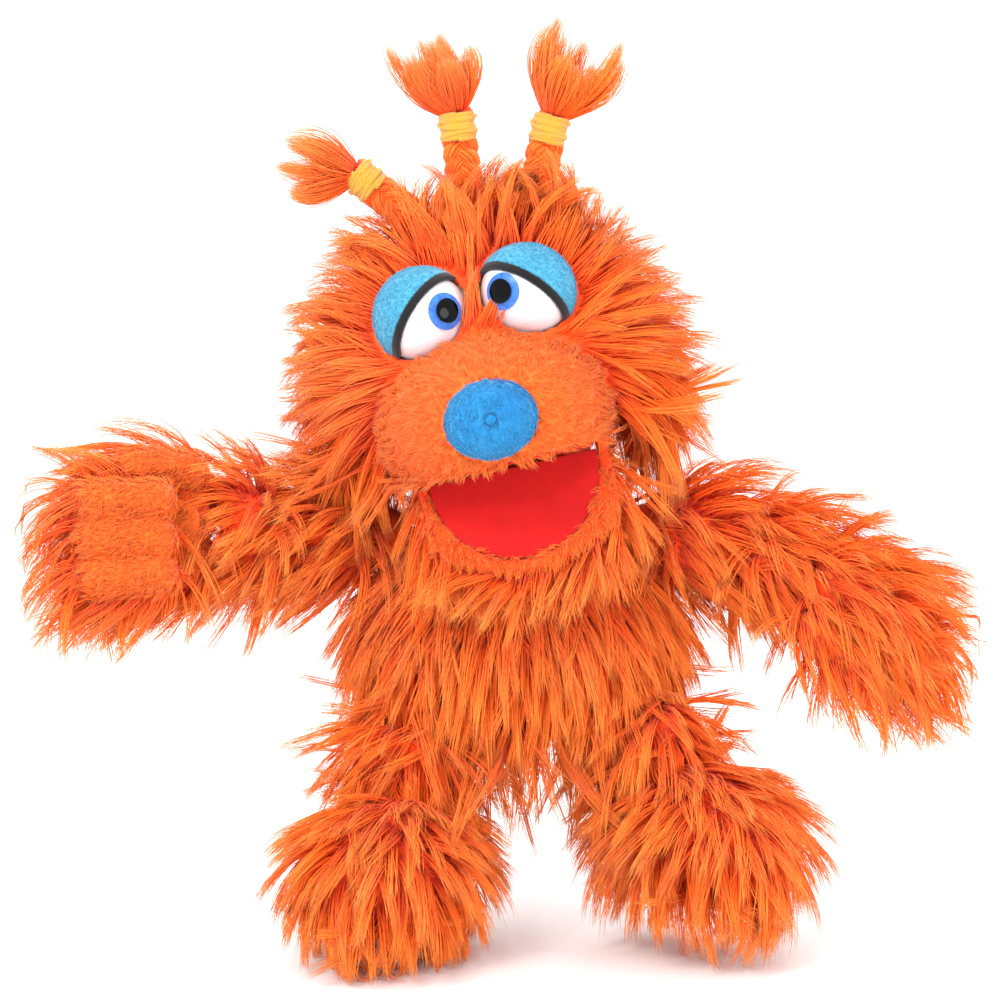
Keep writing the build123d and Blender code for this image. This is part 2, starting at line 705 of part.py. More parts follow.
for side, (hip, ankle, toes) in legs.items():
    with BuildPart() as hip_pad:
        with Locations(hip):
            Sphere(BALL_R)
    save(hip_pad.part, f"{side}_hip_pad")
    save(limb(hip, ankle, LEG_R, LEG_R + 1, "cup", "cup"), f"{side}_leg")

    with BuildPart(Plane(origin=ankle, x_dir=toes, z_dir=(0, 0, 1))) as foot:
        with Locations((FOOT_AHEAD, 0, -FOOT_DROP)):
            add(ellipsoid(FOOT_HALF_LENGTH, FOOT_R, FOOT_R))
        with Locations((0, 0, -SOLE_DROP - 50)):
            Box(300, 300, 100, mode=Mode.SUBTRACT)
        Sphere(BALL_R)
        sole_edge = foot.faces().filter_by(GeomType.PLANE).sort_by(Axis.Z)[0].edges()
        fillet(sole_edge, 6)
    save(foot.part, f"{side}_foot")
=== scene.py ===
"""The looks of a moving-mouth monster puppet: long fur, plush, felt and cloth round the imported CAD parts.

Metres, +Z up. The puppet faces -Y, and its left side is -X, as seen from the front.
"""

import json
import math

import bpy
import numpy as np
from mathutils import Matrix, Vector
from mathutils.kdtree import KDTree


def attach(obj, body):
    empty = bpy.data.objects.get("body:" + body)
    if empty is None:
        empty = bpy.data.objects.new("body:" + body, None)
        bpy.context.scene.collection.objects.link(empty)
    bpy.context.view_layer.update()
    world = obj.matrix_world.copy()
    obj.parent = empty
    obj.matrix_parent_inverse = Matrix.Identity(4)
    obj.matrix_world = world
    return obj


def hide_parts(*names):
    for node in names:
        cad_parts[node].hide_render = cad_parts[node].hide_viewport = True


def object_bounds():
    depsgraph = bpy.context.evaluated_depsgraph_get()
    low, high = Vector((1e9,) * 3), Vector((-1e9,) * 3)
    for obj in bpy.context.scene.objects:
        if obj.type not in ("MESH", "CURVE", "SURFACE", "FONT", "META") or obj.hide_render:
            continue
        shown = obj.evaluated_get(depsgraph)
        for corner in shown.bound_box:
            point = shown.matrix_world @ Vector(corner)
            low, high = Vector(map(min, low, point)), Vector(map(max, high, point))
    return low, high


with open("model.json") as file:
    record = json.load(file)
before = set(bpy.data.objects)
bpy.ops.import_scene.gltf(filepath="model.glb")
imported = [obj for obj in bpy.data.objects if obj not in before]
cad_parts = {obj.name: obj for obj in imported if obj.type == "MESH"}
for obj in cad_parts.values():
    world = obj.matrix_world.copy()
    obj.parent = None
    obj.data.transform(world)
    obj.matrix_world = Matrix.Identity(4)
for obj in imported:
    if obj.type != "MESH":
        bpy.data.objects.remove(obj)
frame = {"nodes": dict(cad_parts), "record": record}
cad_low, cad_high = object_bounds()
MM = 0.001
record = frame["record"]
body_of_node = {node: body for body, nodes in record["behaviour"]["bodies"].items() for node in nodes}
slot_of_node = {row["node"]: row["material_slot"] for row in record["subparts"]}
SHARE = 1.0  # of the hairs, while trying things
DOWN = np.array([0.0, 0.0, -1.0])

# the room that the fur may fill, a little inside what cloth may stand proud of the CAD box
PROUD_SHARE, PROUD = 0.03, 0.0085
side = np.array(cad_high) - np.array(cad_low)
ROOM_LOW = np.array(cad_low) - PROUD_SHARE * side - PROUD
ROOM_HIGH = np.array(cad_high) + PROUD_SHARE * side + PROUD
HAIR_UV = "OFBake"  # the map that holds each hair's tint across, and its root and tip up and down
FACES_PER_PIECE = 190_000


# ---- numbers on many points at once
def unit(v):
    """Vectors made one long."""
    return v / np.maximum(np.linalg.norm(v, axis=-1, keepdims=True), 1e-9)


def ramp(x, low, high):
    """0 below low, 1 above high, and smooth between."""
    t = np.clip((x - low) / (high - low), 0, 1)
    return t * t * (3 - 2 * t)


def mixed(a, b, share):
    return a + (b - a) * share[:, None]


def flat_to(v, normals):
    """What is left of a direction along a surface."""
    return v - (v * normals).sum(-1, keepdims=True) * normals


class Axes:
    """A local frame of the CAD source, in metres."""

    def __init__(self, origin, x, z):
        self.origin = np.array(origin, float)
        z = unit(np.array(z, float))
        x = unit(np.array(x, float) - z * np.dot(x, z))
        self.rows = np.array([x, np.cross(z, x), z])

    def local(self, points):
        return (points - self.origin) @ self.rows.T

    def world(self, points):
        return np.asarray(points, float) @ self.rows + self.origin

    def turned(self, directions):
        return directions @ self.rows.T

    def away(self, directions):
        return np.asarray(directions, float) @ self.rows


TILT = math.radians(13)
HEAD = Axes((0, 0, 0.150), (math.cos(TILT), 0, math.sin(TILT)), (-math.sin(TILT), 0, math.cos(TILT)))
OPEN = math.radians(55)
JAW = Axes(
    HEAD.world((0, -0.068, 0.0165)),
    HEAD.rows[0],
    HEAD.rows[2] * math.cos(OPEN) - HEAD.rows[1] * math.sin(OPEN),
)
SKULL = np.array([0, -0.020, 0.066])
SKULL_HALF = np.array([0.093, 0.084, 0.084])
MUZZLE = np.array([-0.003, -0.068, 0.045])
MUZZLE_HALF = np.array([0.066, 0.077, 0.050])
EYES = {"left": np.array([-0.030, -0.080, 0.109]), "right": np.array([0.030, -0.080, 0.109])}
EYE_R = 0.026
NOSE = np.array([-0.005, -0.143, 0.045])
BRAIDS = {
    "left": ((-0.046, -0.020, 0.296), (-0.090, -0.024, 0.331), (-0.134, -0.030, 0.342)),
    "middle": ((-0.027, -0.026, 0.299), (-0.035, -0.032, 0.362), (-0.052, -0.036, 0.410)),
    "right": ((0.006, -0.022, 0.300), (0.019, -0.028, 0.361), (0.040, -0.032, 0.410)),
}
LIMBS = {
    "left": {
        "shoulder": (-0.081, 0.002, 0.116),
        "elbow": (-0.141, -0.012, 0.123),
        "wrist": (-0.182, -0.028, 0.123),
        "palm": (0.36, -0.93, 0.1),
        "hip": (-0.057, -0.040, 0.016),
        "ankle": (-0.068, -0.046, -0.034),
        "toes": (-0.25, -0.97, 0),
    },
    "right": {
        "shoulder": (0.081, 0.002, 0.119),
        "elbow": (0.133, -0.008, 0.117),
        "wrist": (0.175, -0.016, 0.097),
        "palm": (-0.45, 0.35, -0.80),
        "hip": (0.058, -0.042, 0.014),
        "ankle": (0.093, -0.038, -0.018),
        "toes": (0.5, -0.86, 0),
    },
}


# ---- materials
def tone(red, green, blue):
    """A colour from 0 to 255 as a linear one."""
    values = [c / 255 for c in (red, green, blue)]
    return tuple(c / 12.92 if c <= 0.04045 else ((c + 0.055) / 1.055) ** 2.4 for c in values) + (1.0,)


def new_material(name, roughness, sheen=0.0, specular=0.5, coat=0.0):
    material = bpy.data.materials.new(name)
    material.use_nodes = True
    shader = material.node_tree.nodes["Principled BSDF"]
    shader.inputs["Roughness"].default_value = roughness
    shader.inputs["Sheen Weight"].default_value = sheen
    shader.inputs["Sheen Roughness"].default_value = 0.5
    shader.inputs["Specular IOR Level"].default_value = specular
    shader.inputs["Coat Weight"].default_value = coat
    shader.inputs["Coat Roughness"].default_value = 0.05
    return material, material.node_tree, shader


def add_node(tree, kind, **inputs):
    node = tree.nodes.new(kind)
    for name, value in inputs.items():
        node.inputs[name.replace("_", " ")].default_value = value
    return node


def add_ramp(tree, source, *stops):
    """A colour ramp from a value, with stops of (position, red, green, blue)."""
    node = tree.nodes.new("ShaderNodeValToRGB")
    while len(node.color_ramp.elements) < len(stops):
        node.color_ramp.elements.new(0.5)
    for element, (position, *colour) in zip(node.color_ramp.elements, stops):
        element.position = position
        element.color = tone(*colour)
    tree.links.new(source, node.inputs[0])
    return node.outputs[0]


def object_place(tree):
    return tree.nodes.new("ShaderNodeTexCoord").outputs["Object"]


def add_noise(tree, where, scale, detail):
    node = add_node(tree, "ShaderNodeTexNoise", Scale=scale, Detail=detail)
    tree.links.new(where, node.inputs["Vector"])
    return node.outputs["Fac"]


def add_maths(tree, operation, *terms):
    """A sum in a material. Each term is a number or the output of a node."""
    node = tree.nodes.new("ShaderNodeMath")
    node.operation = operation
    for term, socket in zip(terms, node.inputs):
        if isinstance(term, float):
            socket.default_value = term
        else:
            tree.links.new(term, socket)
    return node.outputs[0]


def dress(tree, shader, colour, height=None, bump=0.0, distance=0.0005):
    """Gives a material its colour and, where bump isn't 0, its relief."""
    tree.links.new(colour, shader.inputs["Base Color"])
    if bump:
        relief = add_node(tree, "ShaderNodeBump", Strength=bump, Distance=distance)
        tree.links.new(height, relief.inputs["Height"])
        tree.links.new(relief.outputs[0], shader.inputs["Normal"])


def mix_colours(tree, share, first, second):
    node = tree.nodes.new("ShaderNodeMix")
    node.data_type = "RGBA"
    tree.links.new(share, node.inputs[0])
    tree.links.new(first, node.inputs[6])
    tree.links.new(second, node.inputs[7])
    return node.outputs[2]


def hair_material(name, dark, light, roughness=0.6, sheen=0.12):
    """Hair whose colour runs from root to tip, with darker roots as painted shade and lighter tips as a
    painted highlight, and from the dark stops to the light ones hair by hair.
    """
    material, tree, shader = new_material(name, roughness, sheen, 0.2)
    place = tree.nodes.new("ShaderNodeUVMap")
    place.uv_map = HAIR_UV
    split = tree.nodes.new("ShaderNodeSeparateXYZ")
    tree.links.new(place.outputs[0], split.inputs[0])
    # along each hair the ramps paint shade at the root and a highlight at the tip; across, the tint differs
    # at random from hair to hair
    first, second = [add_ramp(tree, split.outputs[1], *stops) for stops in (dark, light)]
    dress(tree, shader, mix_colours(tree, split.outputs[0], first, second))
    return material


def pile_material(name, base, shade, scale, bump, roughness, sheen, patch=60.0):
    """Short plush or felt: two close colours in fine fibres and soft patches, with fibre bumps."""
    material, tree, shader = new_material(name, roughness, sheen, 0.25)
    where = object_place(tree)
    fine, soft = add_noise(tree, where, scale, 3.0), add_noise(tree, where, patch, 2.0)
    both = add_maths(tree, "MULTIPLY_ADD", soft, 0.55, add_maths(tree, "MULTIPLY", fine, 0.45))
    dress(tree, shader, add_ramp(tree, both, (0.34, *shade), (0.62, *base)), fine, bump, 0.0008)
    return material


def cloth_material(name, base, shade, thread=1500.0, roughness=0.7, sheen=0.2, bump=0.3):
    """Woven or knitted cloth: crossing threads in two close colours."""
    material, tree, shader = new_material(name, roughness, sheen, 0.3)
    where = object_place(tree)
    heights = []
    for direction in ("X", "Z"):
        wave = add_node(tree, "ShaderNodeTexWave", Scale=thread / 6.28, Distortion=1.5, Detail=1.0)
        wave.bands_direction = direction
        tree.links.new(where, wave.inputs["Vector"])
        heights.append(wave.outputs["Fac"])
    both = add_maths(tree, "MULTIPLY", *heights)
    dress(tree, shader, add_ramp(tree, both, (0.0, *shade), (0.6, *base)), both, bump, 0.0004)
    return material


def moulded_material(name, base, shade, scale, roughness, coat=0.0, bump=0.05, specular=0.5):
    """Plastic, foam or board: faint mottling in the colour and a fine surface."""
    material, tree, shader = new_material(name, roughness, 0.0, specular, coat)
    grain = add_noise(tree, object_place(tree), scale, 2.0)
    dress(tree, shader, add_ramp(tree, grain, (0.3, *shade), (0.7, *base)), grain, bump)
    return material


# each list of stops runs from root to tip: the darker roots are painted shade, the lighter tips a painted
# highlight
long_hair = hair_material(
    "long_hair",
    [(0.0, 255, 72, 12), (0.35, 255, 98, 18), (0.8, 255, 122, 30), (1.0, 255, 138, 48)],
    [(0.0, 255, 86, 16), (0.35, 255, 120, 30), (0.8, 255, 150, 60), (1.0, 255, 172, 96)],
)
pile_hair = hair_material(
    "pile_hair",
    [(0.0, 246, 102, 28), (0.6, 246, 118, 36), (1.0, 246, 124, 44)],
    [(0.0, 248, 110, 34), (0.6, 248, 126, 46), (1.0, 248, 136, 58)],
    roughness=0.7,
)
nose_hair = hair_material(
    "nose_hair",
    [(0.0, 22, 122, 186), (0.6, 38, 146, 202), (1.0, 48, 154, 208)],
    [(0.0, 28, 132, 192), (0.6, 46, 154, 208), (1.0, 64, 166, 214)],
    roughness=0.7,
)
lid_hair = hair_material(
    "lid_hair",
    [(0.0, 60, 150, 188), (0.6, 74, 162, 196), (1.0, 82, 170, 202)],
    [(0.0, 66, 156, 192), (0.6, 82, 170, 202), (1.0, 98, 178, 208)],
    roughness=0.7,
)
fur_skin = pile_material("fur_skin", (255, 90, 18), (248, 66, 10), 700, 0.6, 0.9, 0.2)
plush_skin = pile_material("plush_skin", (246, 116, 36), (242, 98, 26), 1100, 0.5, 0.9, 0.3)
nose_skin = pile_material("nose_skin", (42, 148, 204), (24, 124, 188), 1300, 0.5, 0.85, 0.3)
lid_skin = pile_material("lid_skin", (80, 168, 200), (62, 150, 188), 1300, 0.4, 0.85, 0.3)
lash_felt = pile_material("lash_felt", (26, 24, 27), (12, 11, 13), 1500, 0.5, 0.9, 0.2)
mouth_felt = pile_material("mouth_felt", (212, 14, 14), (188, 8, 10), 1700, 0.35, 0.8, 0.2, 40)
iris_felt = pile_material("iris_felt", (70, 128, 214), (42, 92, 186), 900, 0.1, 0.25, 0.0, 300)
lining_satin = cloth_material("lining_satin", (236, 122, 44), (206, 84, 22), 2600, 0.4, 0.3)
cuff_knit = cloth_material("cuff_knit", (240, 104, 32), (204, 60, 14), 1200, 0.75, 0.3, 0.6)
pocket_cloth = cloth_material("pocket_cloth", (200, 34, 34), (150, 14, 18), 2200, 0.6, 0.3)
thread = cloth_material("thread", (246, 122, 46), (210, 70, 16), 5000, 0.6, 0.2)
yarn = cloth_material("yarn", (252, 202, 40), (228, 158, 16), 6000, 0.7, 0.4, 0.8)
foam = moulded_material("foam", (236, 224, 190), (214, 198, 158), 900, 0.9, 0, 0.6)
fibre = pile_material("fibre", (240, 238, 232), (214, 210, 200), 500, 0.8, 0.95, 0.4)
board = moulded_material("board", (176, 150, 112), (148, 122, 86), 400, 0.8, 0, 0.3)
white_plastic = moulded_material("white_plastic", (226, 227, 231), (218, 220, 225), 60, 0.12, 0.4, 0.0)
black_plastic = moulded_material("black_plastic", (10, 10, 12), (5, 5, 7), 60, 0.08, specular=0.12, bump=0.0)
post_plastic = moulded_material("post_plastic", (214, 214, 208), (196, 196, 190), 500, 0.4, 0.1, 0.1)


# ---- objects and meshes
def placed(name, data):
    """A new object in the scene."""
    made = bpy.data.objects.new(name, data)
    bpy.context.scene.collection.objects.link(made)
    return made


def aimed(piece, place, aim):
    """Puts a light or camera at a place, and turns it to face a point."""
    piece.location = place
    piece.rotation_mode = "QUATERNION"
    piece.rotation_quaternion = (Vector(aim) - Vector(place)).to_track_quat("-Z", "Y")


def read(rows, field, kind=np.float32):
    """One field, with three values in each row, of a mesh's points or triangles."""
    values = np.zeros(len(rows) * 3, kind)
    rows.foreach_get(field, values)
    return values.reshape(-1, 3)


def mesh_piece(name, points, faces, material, body, uv=None, smooth=True):
    """A piece from point and face arrays (faces all with the same number of corners), riding on a body."""
    mesh = bpy.data.meshes.new(name)
    corners = faces.shape[1]
    mesh.vertices.add(len(points))
    mesh.vertices.foreach_set("co", np.ascontiguousarray(points, np.float32).ravel())
    mesh.loops.add(faces.size)
    mesh.loops.foreach_set("vertex_index", np.ascontiguousarray(faces, np.int32).ravel())
    mesh.polygons.add(len(faces))
    mesh.polygons.foreach_set("loop_start", np.arange(0, faces.size, corners, dtype=np.int32))
    if uv is not None:
        layer = mesh.uv_layers.new(name=HAIR_UV)
        layer.uv.foreach_set("vector", np.ascontiguousarray(uv, np.float32).ravel())
    mesh.materials.append(material)
    mesh.update(calc_edges=True)
    if smooth:
        mesh.shade_smooth()
    piece = placed(name, mesh)
    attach(piece, body)
    return piece


def soft_copy(node, voxel, material, smooth=5, swell=0.0, name=None, crease=None):
    """A softened piece that stands for a soft CAD node: remeshed evenly, smoothed and swollen a little."""
    work = placed("work", frame["nodes"][node].data.copy())
    remesh = work.modifiers.new("even", "REMESH")
    remesh.mode = "VOXEL"
    remesh.voxel_size = voxel
    if smooth:
        soften = work.modifiers.new("soften", "SMOOTH")
        soften.iterations = smooth
        soften.factor = 0.5
    depsgraph = bpy.context.evaluated_depsgraph_get()
    mesh = bpy.data.meshes.new_from_object(work.evaluated_get(depsgraph))
    bpy.data.objects.remove(work)
    piece = placed(name or f"{node}_soft", mesh)
    mesh.name = piece.name
    mesh.materials.clear()
    mesh.materials.append(material)
    mesh.shade_smooth()
    if swell or crease:
        normals = read(mesh.vertices, "normal")
        points = read(mesh.vertices, "co") + normals * swell
        if crease:
            points = crease(points, normals)
        mesh.vertices.foreach_set("co", points.astype(np.float32).ravel())
        mesh.update()
    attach(piece, body_of_node[node])
    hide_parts(node)
    return piece


def tubes(name, paths, radii, material, body, sides=8, slot=None):
    """Closed round tubes along lists of points, as one piece. Each has its own radius along it."""
    all_points, all_faces = [], []
    base = 0
    for path, radius in zip(paths, radii):
        path = np.asarray(path, float)
        count = len(path)
        radius = np.broadcast_to(radius, (count,))
        along = unit(np.gradient(path, axis=0))
        across = np.zeros((count, 3))
        guess = np.cross(along[0], (0.31, 0.57, 0.76))
        for index in range(count):
            guess = unit(guess - along[index] * np.dot(guess, along[index]))
            across[index] = guess
        other = np.cross(along, across)
        turn = np.arange(sides) / sides * 2 * math.pi
        ring = across[:, None] * np.cos(turn)[None, :, None] + other[:, None] * np.sin(turn)[None, :, None]
        rings = path[:, None] + ring * radius[:, None, None]
        all_points += [rings.reshape(-1, 3), path[:1], path[-1:]]
        first, last = base + count * sides, base + count * sides + 1
        for index in range(count - 1):
            for k in range(sides):
                a, b = base + index * sides + k, base + index * sides + (k + 1) % sides
                all_faces += [(a, b, b + sides), (a, b + sides, a + sides)]
        for k in range(sides):
            after = (k + 1) % sides
            all_faces.append((first, base + after, base + k))
            end = base + (count - 1) * sides
            all_faces.append((last, end + k, end + after))
        base += count * sides + 2
    piece = mesh_piece(name, np.concatenate(all_points), np.array(all_faces), material, body)
    return piece


def lathe(name, axes, outline, material, body, node, around=96, wave=None):
    """A closed turned piece from a closed outline of (radius, height) points. wave moves its points."""
    outline = np.array(outline, float)
    turn = np.arange(around) / around * 2 * math.pi
    x, y = outline[None, :, 0] * np.cos(turn)[:, None], outline[None, :, 0] * np.sin(turn)[:, None]
    points = np.stack([x, y, np.broadcast_to(outline[None, :, 1], x.shape)], -1).reshape(-1, 3)
    if wave:
        points = wave(points)
    count = len(outline)
    a = (np.arange(around)[:, None] * count + np.arange(count)[None]).ravel()
    b = (np.arange(around)[:, None] * count + (np.arange(count)[None] + 1) % count).ravel()
    c, d = (a + count) % (around * count), (b + count) % (around * count)
    faces = np.stack([a, c, d, b], -1)
    piece = mesh_piece(name, axes.world(points), faces, material, body)
    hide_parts(node)
    return piece


# ---- fur
ROOT_DEPTH = 0.0006
fur_count = {}


def surface_of(*pieces):
    """The corners of every triangle of some pieces, in the world."""
    found = []
    for piece in pieces:
        mesh = piece.data
        mesh.calc_loop_triangles()
        matrix = np.array(piece.matrix_world)
        points = read(mesh.vertices, "co", float) @ matrix[:3, :3].T + matrix[:3, 3]
        found.append(points[read(mesh.loop_triangles, "vertices", np.int32)])
    return np.concatenate(found)


def scattered(corners, per_cm2, rng):
    """Evenly scattered points on triangles, with normals."""
    normals = np.cross(corners[:, 1] - corners[:, 0], corners[:, 2] - corners[:, 0])
    areas = np.linalg.norm(normals, axis=1) / 2
    total = np.cumsum(areas)
    count = max(4, int(total[-1] * 1e4 * per_cm2))
    picks = np.searchsorted(total, (np.arange(count) + rng.random(count)) / count * total[-1])
    picks = np.minimum(picks, len(corners) - 1)
    u, v = rng.random((2, count))
    fold = u + v > 1
    u[fold], v[fold] = 1 - u[fold], 1 - v[fold]
    picked = corners[picks]
    points = picked[:, 0] + u[:, None] * (picked[:, 1] - picked[:, 0])
    return points + v[:, None] * (picked[:, 2] - picked[:, 0]), unit(normals[picks])


def hairs(name, paths, radius, tint, material, body, slot, thin=0.25):
    """Three-sided tapering hairs along paths (hair, point, xyz), in pieces of a bounded size."""
    paths = np.clip(paths, ROOM_LOW, ROOM_HIGH)
    count, steps, _ = paths.shape
    along = unit(np.gradient(paths, axis=1))
    across = unit(np.cross(along, np.array([0.27, 0.61, 0.74])))
    other = np.cross(along, across)
    t = np.linspace(0, 1, steps)
    width = np.asarray(radius)[:, None] * (1 - (1 - thin) * t[None] ** 1.5)
    rings = []
    for k in range(3):
        turn = k * 2 * math.pi / 3
        rings.append(paths + (across * math.cos(turn) + other * math.sin(turn)) * width[..., None])
    body_rings = np.stack(rings, 2)[:, :-1].reshape(count, -1, 3)
    points = np.concatenate([body_rings, paths[:, -1:]], 1)
    tip = 3 * (steps - 1)
    faces, marks = [(2, 1, 0)], [((0.5, 0), (0, 0), (-0.5, 0))]
    for step in range(steps - 2):
        for k in range(3):
            a, b = 3 * step + k, 3 * step + (k + 1) % 3
            low, high = t[step], t[step + 1]
            left, right = k / 3 - 0.5, (k + 1) / 3 - 0.5
            faces += [(a, b, b + 3), (a, b + 3, a + 3)]
            marks += [((left, low), (right, low), (right, high)), ((left, low), (right, high), (left, high))]
    for k in range(3):
        a, b = 3 * (steps - 2) + k, 3 * (steps - 2) + (k + 1) % 3
        left, right = k / 3 - 0.5, (k + 1) / 3 - 0.5
        faces.append((a, b, tip))
        marks.append(((left, t[-2]), (right, t[-2]), (0, 1)))
    faces, marks = np.array(faces), np.array(marks)
    per_piece = FACES_PER_PIECE // len(faces)
    made = []
    for part, start in enumerate(range(0, count, per_piece)):
        end = min(count, start + per_piece)
        number = end - start
        shift = (np.arange(number) * (tip + 1))[:, None, None]
        all_faces = (faces[None] + shift).reshape(-1, 3)
        uv = np.zeros((number, len(faces), 3, 2))
        middle = 0.03 + 0.94 * np.asarray(tint)[start:end]
        uv[..., 0] = middle[:, None, None] + marks[None, ..., 0] * 0.02
        uv[..., 1] = 0.02 + 0.96 * marks[None, ..., 1]
        label = name if count <= per_piece else f"{name}_{part + 1}"
        corners = points[start:end].reshape(-1, 3)
        piece = mesh_piece(label, corners, all_faces, material, body, uv.reshape(-1, 2))
        made.append(piece)
        fur_count[label] = len(all_faces)
    return made


def even(points, lift, length):
    """The same lift and length for the hair at every point."""
    return np.full(len(points), lift), np.full(len(points), length)


def coat(
    name,
    skins,
    body,
    keep,
    comb,
    per_cm2,
    lock=0.007,
    steps=6,
    radius=0.00038,
    pull=0.85,
    sway=0.25,
    frizz=0.0016,
    hold_off=None,
    material=None,
    slot="long_fur",
    seed=1,
    gravity=0.35,
):
    """Long or short fur on some skins, drawn together into pointed locks.

    keep(points, normals) is true where hair grows. comb(points, normals) gives its direction along the skin,
    how far it stands off the skin from 0 to 1, and its length. hold_off moves points out of the body inside.
    """
    rng = np.random.default_rng(seed)
    corners = surface_of(*skins)
    middles = corners.mean(1)
    facing = unit(np.cross(corners[:, 1] - corners[:, 0], corners[:, 2] - corners[:, 0]))
    corners = corners[keep(middles, facing)]
    roots, normals = scattered(corners, per_cm2 * SHARE, rng)
    centres, centre_normals = scattered(corners, 0.01 / lock**2 * 0.01, rng)  # one lock for each lock by lock

    flow, lift, length = comb(centres, centre_normals)
    flow = unit(flat_to(flow, centre_normals))
    count = len(centres)
    side_way = unit(np.cross(centre_normals, flow))
    swing = rng.normal(0, sway, count)
    length = length * (0.78 + 0.44 * rng.random(count))
    lift = np.clip(lift * (0.75 + 0.5 * rng.random(count)), 0.02, 1)
    moves = np.zeros((count, steps, 3))
    for step in range(1, steps):
        t = (step - 0.5) / (steps - 1)
        rise = (lift * (1 - 0.75 * t))[:, None]
        way = centre_normals * rise + flow * (1 - rise) + side_way * (swing * (0.4 + 0.8 * t))[:, None]
        way = unit(way + DOWN * gravity * t * t)
        moves[:, step] = moves[:, step - 1] + way * (length / (steps - 1))[:, None]
    guides = centres[:, None] + moves

    tree = KDTree(count)
    for index, point in enumerate(centres):
        tree.insert(point, index)
    tree.balance()
    nearest = np.array([tree.find(point)[1] for point in roots])
    t = np.linspace(0, 1, steps)[None, :, None]
    own = 0.72 + 0.33 * rng.random(len(roots))
    paths = roots[:, None] + moves[nearest] * own[:, None, None]
    strength = pull * (0.55 + 0.45 * rng.random(count))[nearest]
    strength = strength[:, None, None] * np.minimum(1, 1.25 * t)
    paths = paths + (guides[nearest] - paths) * strength * own[:, None, None]
    each = (len(roots), 1, 3)
    bend = rng.normal(0, frizz, each) * t**1.5
    bend = bend + rng.normal(0, frizz * 0.5, each) * np.sin(t * math.pi)
    paths = paths + bend
    paths[:, 0] = roots - normals * ROOT_DEPTH
    if hold_off:
        spare = (0.0005 + 0.004 * rng.random(len(roots)))[:, None] * t[:, :, 0] ** 0.5
        paths[:, 1:] = hold_off(paths[:, 1:], spare[:, 1:])
    tint = np.clip(rng.normal(0.5, 0.16, count)[nearest] + rng.normal(0, 0.14, len(roots)), 0, 1)
    wide = radius * (0.75 + 0.5 * rng.random(len(roots)))
    return hairs(name, paths, wide, tint, material or long_hair, body, slot)


GLOVE_PILE = {
    "lock": 0.004, "steps": 4, "radius": 0.0003, "pull": 0.5, "sway": 0.4, "frizz": 0.0008, "gravity": 0.1,
    "material": pile_hair, "slot": "short_fur",
}
MUZZLE_PILE = {**GLOVE_PILE, "lock": 0.0046, "radius": 0.00024, "sway": 0.5}
LIP_PILE = {**GLOVE_PILE, "lock": 0.0045, "radius": 0.00026, "frizz": 0.001, "gravity": 0.2}
NOSE_PILE = {
    **GLOVE_PILE, "lock": 0.003, "radius": 0.00016, "pull": 0.3, "frizz": 0.0003,
    "material": nose_hair, "slot": "nose_plush",
}
LID_PILE = {**NOSE_PILE, "radius": 0.00015, "material": lid_hair, "slot": "lid_plush"}


def out_of_egg(axes, centre, halves):
    """Moves points out of an ellipsoid."""

    def hold_off(paths, spare):
        local = axes.local(paths) - centre
        scaled = local / halves
        reach = np.linalg.norm(scaled, axis=-1)
        wanted = 1 + spare / halves.mean()
        push = np.maximum(1, wanted / np.maximum(reach, 0.2))
        return axes.world(local * push[..., None] + centre)

    return hold_off


def out_of_rod(start, end, radius):
    """Moves points out of a round rod between two points."""
    start, end = np.array(start), np.array(end)
    run = end - start

    def hold_off(paths, spare):
        share = np.clip(((paths - start) @ run) / (run @ run), 0, 1)
        foot = start + share[..., None] * run
        off = paths - foot
        reach = np.linalg.norm(off, axis=-1)
        push = np.maximum(1, (radius + spare) / np.maximum(reach, 0.004))
        return foot + off * push[..., None]

    return hold_off


def inside_egg(points, axes, centre, halves):
    return (((axes.local(points) - centre) / halves) ** 2).sum(-1) < 1


# ---- the body
BODY_RINGS = MM * np.array(  # height, half width, half depth and middle of the bag
    [
        (12, 66, 54, -6),
        (34, 82, 62, -7),
        (66, 86, 64, -8),
        (92, 78, 56, -3),
        (111, 64, 53, -1),
        (120, 55, 51, 0),
    ]
)


def bag_at(z):
    z = np.clip(z, BODY_RINGS[0, 0], BODY_RINGS[-1, 0])
    return [np.interp(z, BODY_RINGS[:, 0], BODY_RINGS[:, k]) for k in (1, 2, 3)]


def out_of_bag(paths, spare):
    wide, deep, middle = bag_at(paths[..., 2])
    x, y = paths[..., 0] / wide, (paths[..., 1] - middle) / deep
    reach = np.sqrt(x * x + y * y)
    push = np.where(paths[..., 2] > 0.010, np.maximum(1, (1 + spare / 0.07) / np.maximum(reach, 0.3)), 1)
    moved = paths.copy()
    moved[..., 0] = x * push * wide
    moved[..., 1] = y * push * deep + middle
    return moved


def on_bag(points, normals):
    x, y, z = points.T
    wide, deep, middle = bag_at(z)
    reach = np.hypot(x / wide, (y - middle) / deep)
    outward = normals[:, 0] * x + normals[:, 1] * (y - middle)
    from_axis = np.hypot(x, y)
    top = (z > 0.116) & (from_axis > 0.045)
    under = (z < 0.0165) & (normals[:, 2] < -0.5) & (from_axis > 0.0515)
    return ((reach > 0.93) & (outward > 0)) | top | under


